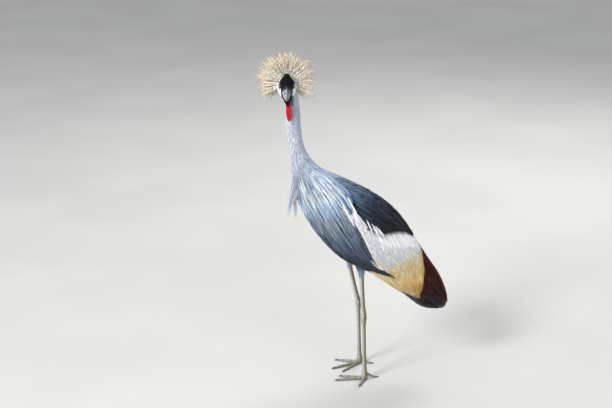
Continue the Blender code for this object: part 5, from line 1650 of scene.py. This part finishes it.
# --- eyes
def build_eyes():
    mat = eye_mat()
    for c, ax, tag in zip(EYE_C, EYE_AXIS, ("left", "right")):
        side = unit(np.cross(UPV, ax))
        top = np.cross(ax, side)
        ang = np.concatenate([np.linspace(0.03, 0.9, 30), np.linspace(0.98, pi - 0.12, 22)])
        th = 2 * pi * np.arange(56) / 56
        R = EYE_R * (1 + 0.045 * np.exp(-(ang / 0.55) ** 2) - 0.03)
        rings = c + R[:, None, None] * (ax * np.cos(ang)[:, None, None]
                                        + np.sin(ang)[:, None, None] * (side * np.cos(th)[None, :, None] + top * np.sin(th)[None, :, None]))
        V, q, tr = closed_loft(rings, c + ax * R[0], c - ax * R[-1])
        tt = np.repeat(th, 1)
        cols = []
        for a in ang:
            streak = 0.86 + 0.14 * np.sin(th * 23 + 3 * np.sin(5 * th))
            iris = srgb(136, 154, 170) * streak[:, None]
            iris = mix(iris, srgb(70, 84, 98), np.full(56, float(ease((a - 0.56) / 0.14))))
            col = mix(np.broadcast_to(srgb(8, 8, 10), (56, 3)), iris, np.full(56, float(ease((a - 0.40) / 0.05))))
            col = mix(col, srgb(20, 20, 24), np.full(56, float(ease((a - 0.72) / 0.08))))
            cols.append(col)
        tint = np.concatenate([np.concatenate(cols), cols[0][:1], cols[-1][:1]])
        ob = put_mesh("eyeball_" + tag, V, [q, tr], mat, tint)
        fix_normals(ob)
        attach(ob, "root")
        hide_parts("eye_" + tag)


build_eyes()


# --- wattle
def build_wattle():
    at = np.array((0.034, -0.2365, 0.9010))
    fw2 = unit(np.array((FWD[0], FWD[1], 0.0)))
    S = np.linspace(-0.12, 1.0, 90)
    n = 48
    k = 2 * pi * np.arange(n) / n
    rings, cols = [], []
    for s in S:
        w = 0.0066 + 0.0016 * float(ease((s - 0.15) / 0.5)) if s < 0.75 else 0.0082 * math.sqrt(max(1 - ((s - 0.75) / 0.2525) ** 2, 0.004))
        if s < 0:
            w = 0.0066 * (1 + 3.0 * s)
        th = 0.0030 * (1.0 if s < 0.7 else 1 - 0.35 * (s - 0.7) / 0.3)
        if s > 0.96:
            th *= math.sqrt(max(1 - ((s - 0.96) / 0.0405) ** 2, 0.02))
        mid = at + np.array((-0.004 * s, 0.0055 * s, -0.078 * s))
        cx, cy = np.cos(k), np.sin(k)
        split = 1 - 0.42 * np.exp(-(cx / 0.30) ** 2) * float(ease((s - 0.02) / 0.2)) * float(ease((1.02 - s) / 0.12))
        wr = 0.00010 * np.sin(s * 95 + 1.6 * np.sin(k * 3)) + 0.00010 * np.sin(s * 190 + 5 * cx)
        x = w * cx * (1 + 0.03 * math.sin(s * 21))
        y = th * np.sign(cy) * np.abs(cy) ** 0.8 * split + wr * cy
        sway = 0.0012 * math.sin(s * 5.0)
        rings.append(mid + LAT * (x + sway * 0)[:, None] + fw2 * (y + sway)[:, None])
        c = mix(np.broadcast_to(srgb(178, 5, 30), (n, 3)), srgb(202, 12, 40), np.clip(0.5 + 0.5 * np.sin(s * 37 + 4 * cx), 0, 1) * 0.6)
        # painted shade: darker down the groove in the middle of each face
        c = mix(c, srgb(140, 6, 24), np.exp(-(cx / 0.18) ** 2) * 0.5)
        cols.append(c)
    V, q, tr = closed_loft(np.array(rings), rings[0].mean(0), rings[-1].mean(0))
    tint = np.concatenate([np.concatenate(cols), cols[0][:1], cols[-1][:1]])
    ob = put_mesh("wattle_drop", V, [q, tr], wattle_mat(), tint)
    fix_normals(ob)
    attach(ob, "root")
    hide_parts("wattle")


build_wattle()

# --- claws keep their solids
CLAW = claw_mat()
for name in ("inner", "middle", "outer", "hind"):
    for tag in ("left", "right"):
        ob = bpy.data.objects["claw_%s_%s" % (name, tag)]
        for s in ob.material_slots:
            s.material = CLAW
        if not ob.material_slots:
            ob.data.materials.append(CLAW)

# ============================================================ camera, light
AZ, PITCH, FOCAL = math.radians(84.0), math.radians(17.6), 1140.0
back_v = np.array((math.sin(AZ) * math.cos(PITCH), -math.cos(AZ) * math.cos(PITCH), math.sin(PITCH)))
Fv = -back_v
Rv = unit(np.cross(Fv, (0, 0, 1.0)))
Uv = np.cross(Rv, Fv)
flat_back = np.array((math.sin(AZ), -math.cos(AZ), 0.0))
shift_x = -(362.0 - 306.0) * (3.3 * math.cos(PITCH) + 1.6 * math.sin(PITCH)) / FOCAL
CAM_AT = flat_back * 3.3 + Rv * shift_x + np.array((0, 0, 1.6)) + np.array((SHIFT[0], SHIFT[1], 0.0))
cam_data = bpy.data.cameras.new("camera")
cam_data.sensor_fit, cam_data.sensor_width = "HORIZONTAL", 36.0
cam_data.lens = FOCAL / 612.0 * 36.0
cam = bpy.data.objects.new("camera", cam_data)
mw = Matrix(((Rv[0], Uv[0], -Fv[0], CAM_AT[0]), (Rv[1], Uv[1], -Fv[1], CAM_AT[1]), (Rv[2], Uv[2], -Fv[2], CAM_AT[2]), (0, 0, 0, 1)))
cam.matrix_world = mw
scene.collection.objects.link(cam)
scene.camera = cam

fm = Mat("studio_floor", Roughness=0.8)
fpos = fm.add("ShaderNodeTexCoord").outputs["Object"]
fn = fm.noise(fpos, 1.4, 3.0, 0.5)
fm.put(fm.b.inputs["Base Color"], fm.mixc(fm.step(fn, 0.35, 0.65), (0.50, 0.50, 0.495, 1), (0.53, 0.53, 0.525, 1)))
me = bpy.data.meshes.new("floor")
bm = bmesh.new()
bmesh.ops.create_grid(bm, x_segments=8, y_segments=8, size=40.0)
bm.to_mesh(me)
bm.free()
me.materials.append(fm.m)
floor = bpy.data.objects.new("floor", me)
scene.collection.objects.link(floor)

world = bpy.data.worlds.new("studio")
world.use_nodes = True
bg = world.node_tree.nodes["Background"]
bg.inputs["Color"].default_value = (0.97, 0.985, 1.0, 1)
bg.inputs["Strength"].default_value = 0.64
scene.world = world


def lamp(name, at, aim, size, power, colour=(1, 1, 1)):
    d = bpy.data.lights.new(name, "AREA")
    d.shape, d.size, d.energy, d.color = "DISK", size, power, colour
    o = bpy.data.objects.new(name, d)
    o.location = at
    o.rotation_euler = (Vector(aim) - Vector(at)).to_track_quat("-Z", "Y").to_euler()
    scene.collection.objects.link(o)


lamp("key", (2.6, -3.4, 3.6), (0, 0, 0.6), 1.5, 262, (1.0, 0.98, 0.95))
lamp("fill", (3.2, 3.4, 2.0), (0, 0, 0.5), 3.0, 28, (0.95, 0.97, 1.0))
lamp("rim", (-2.6, 1.8, 3.4), (0, 0, 0.6), 2.0, 110, (1.0, 0.98, 0.95))
scene.view_settings.view_transform = "Standard"
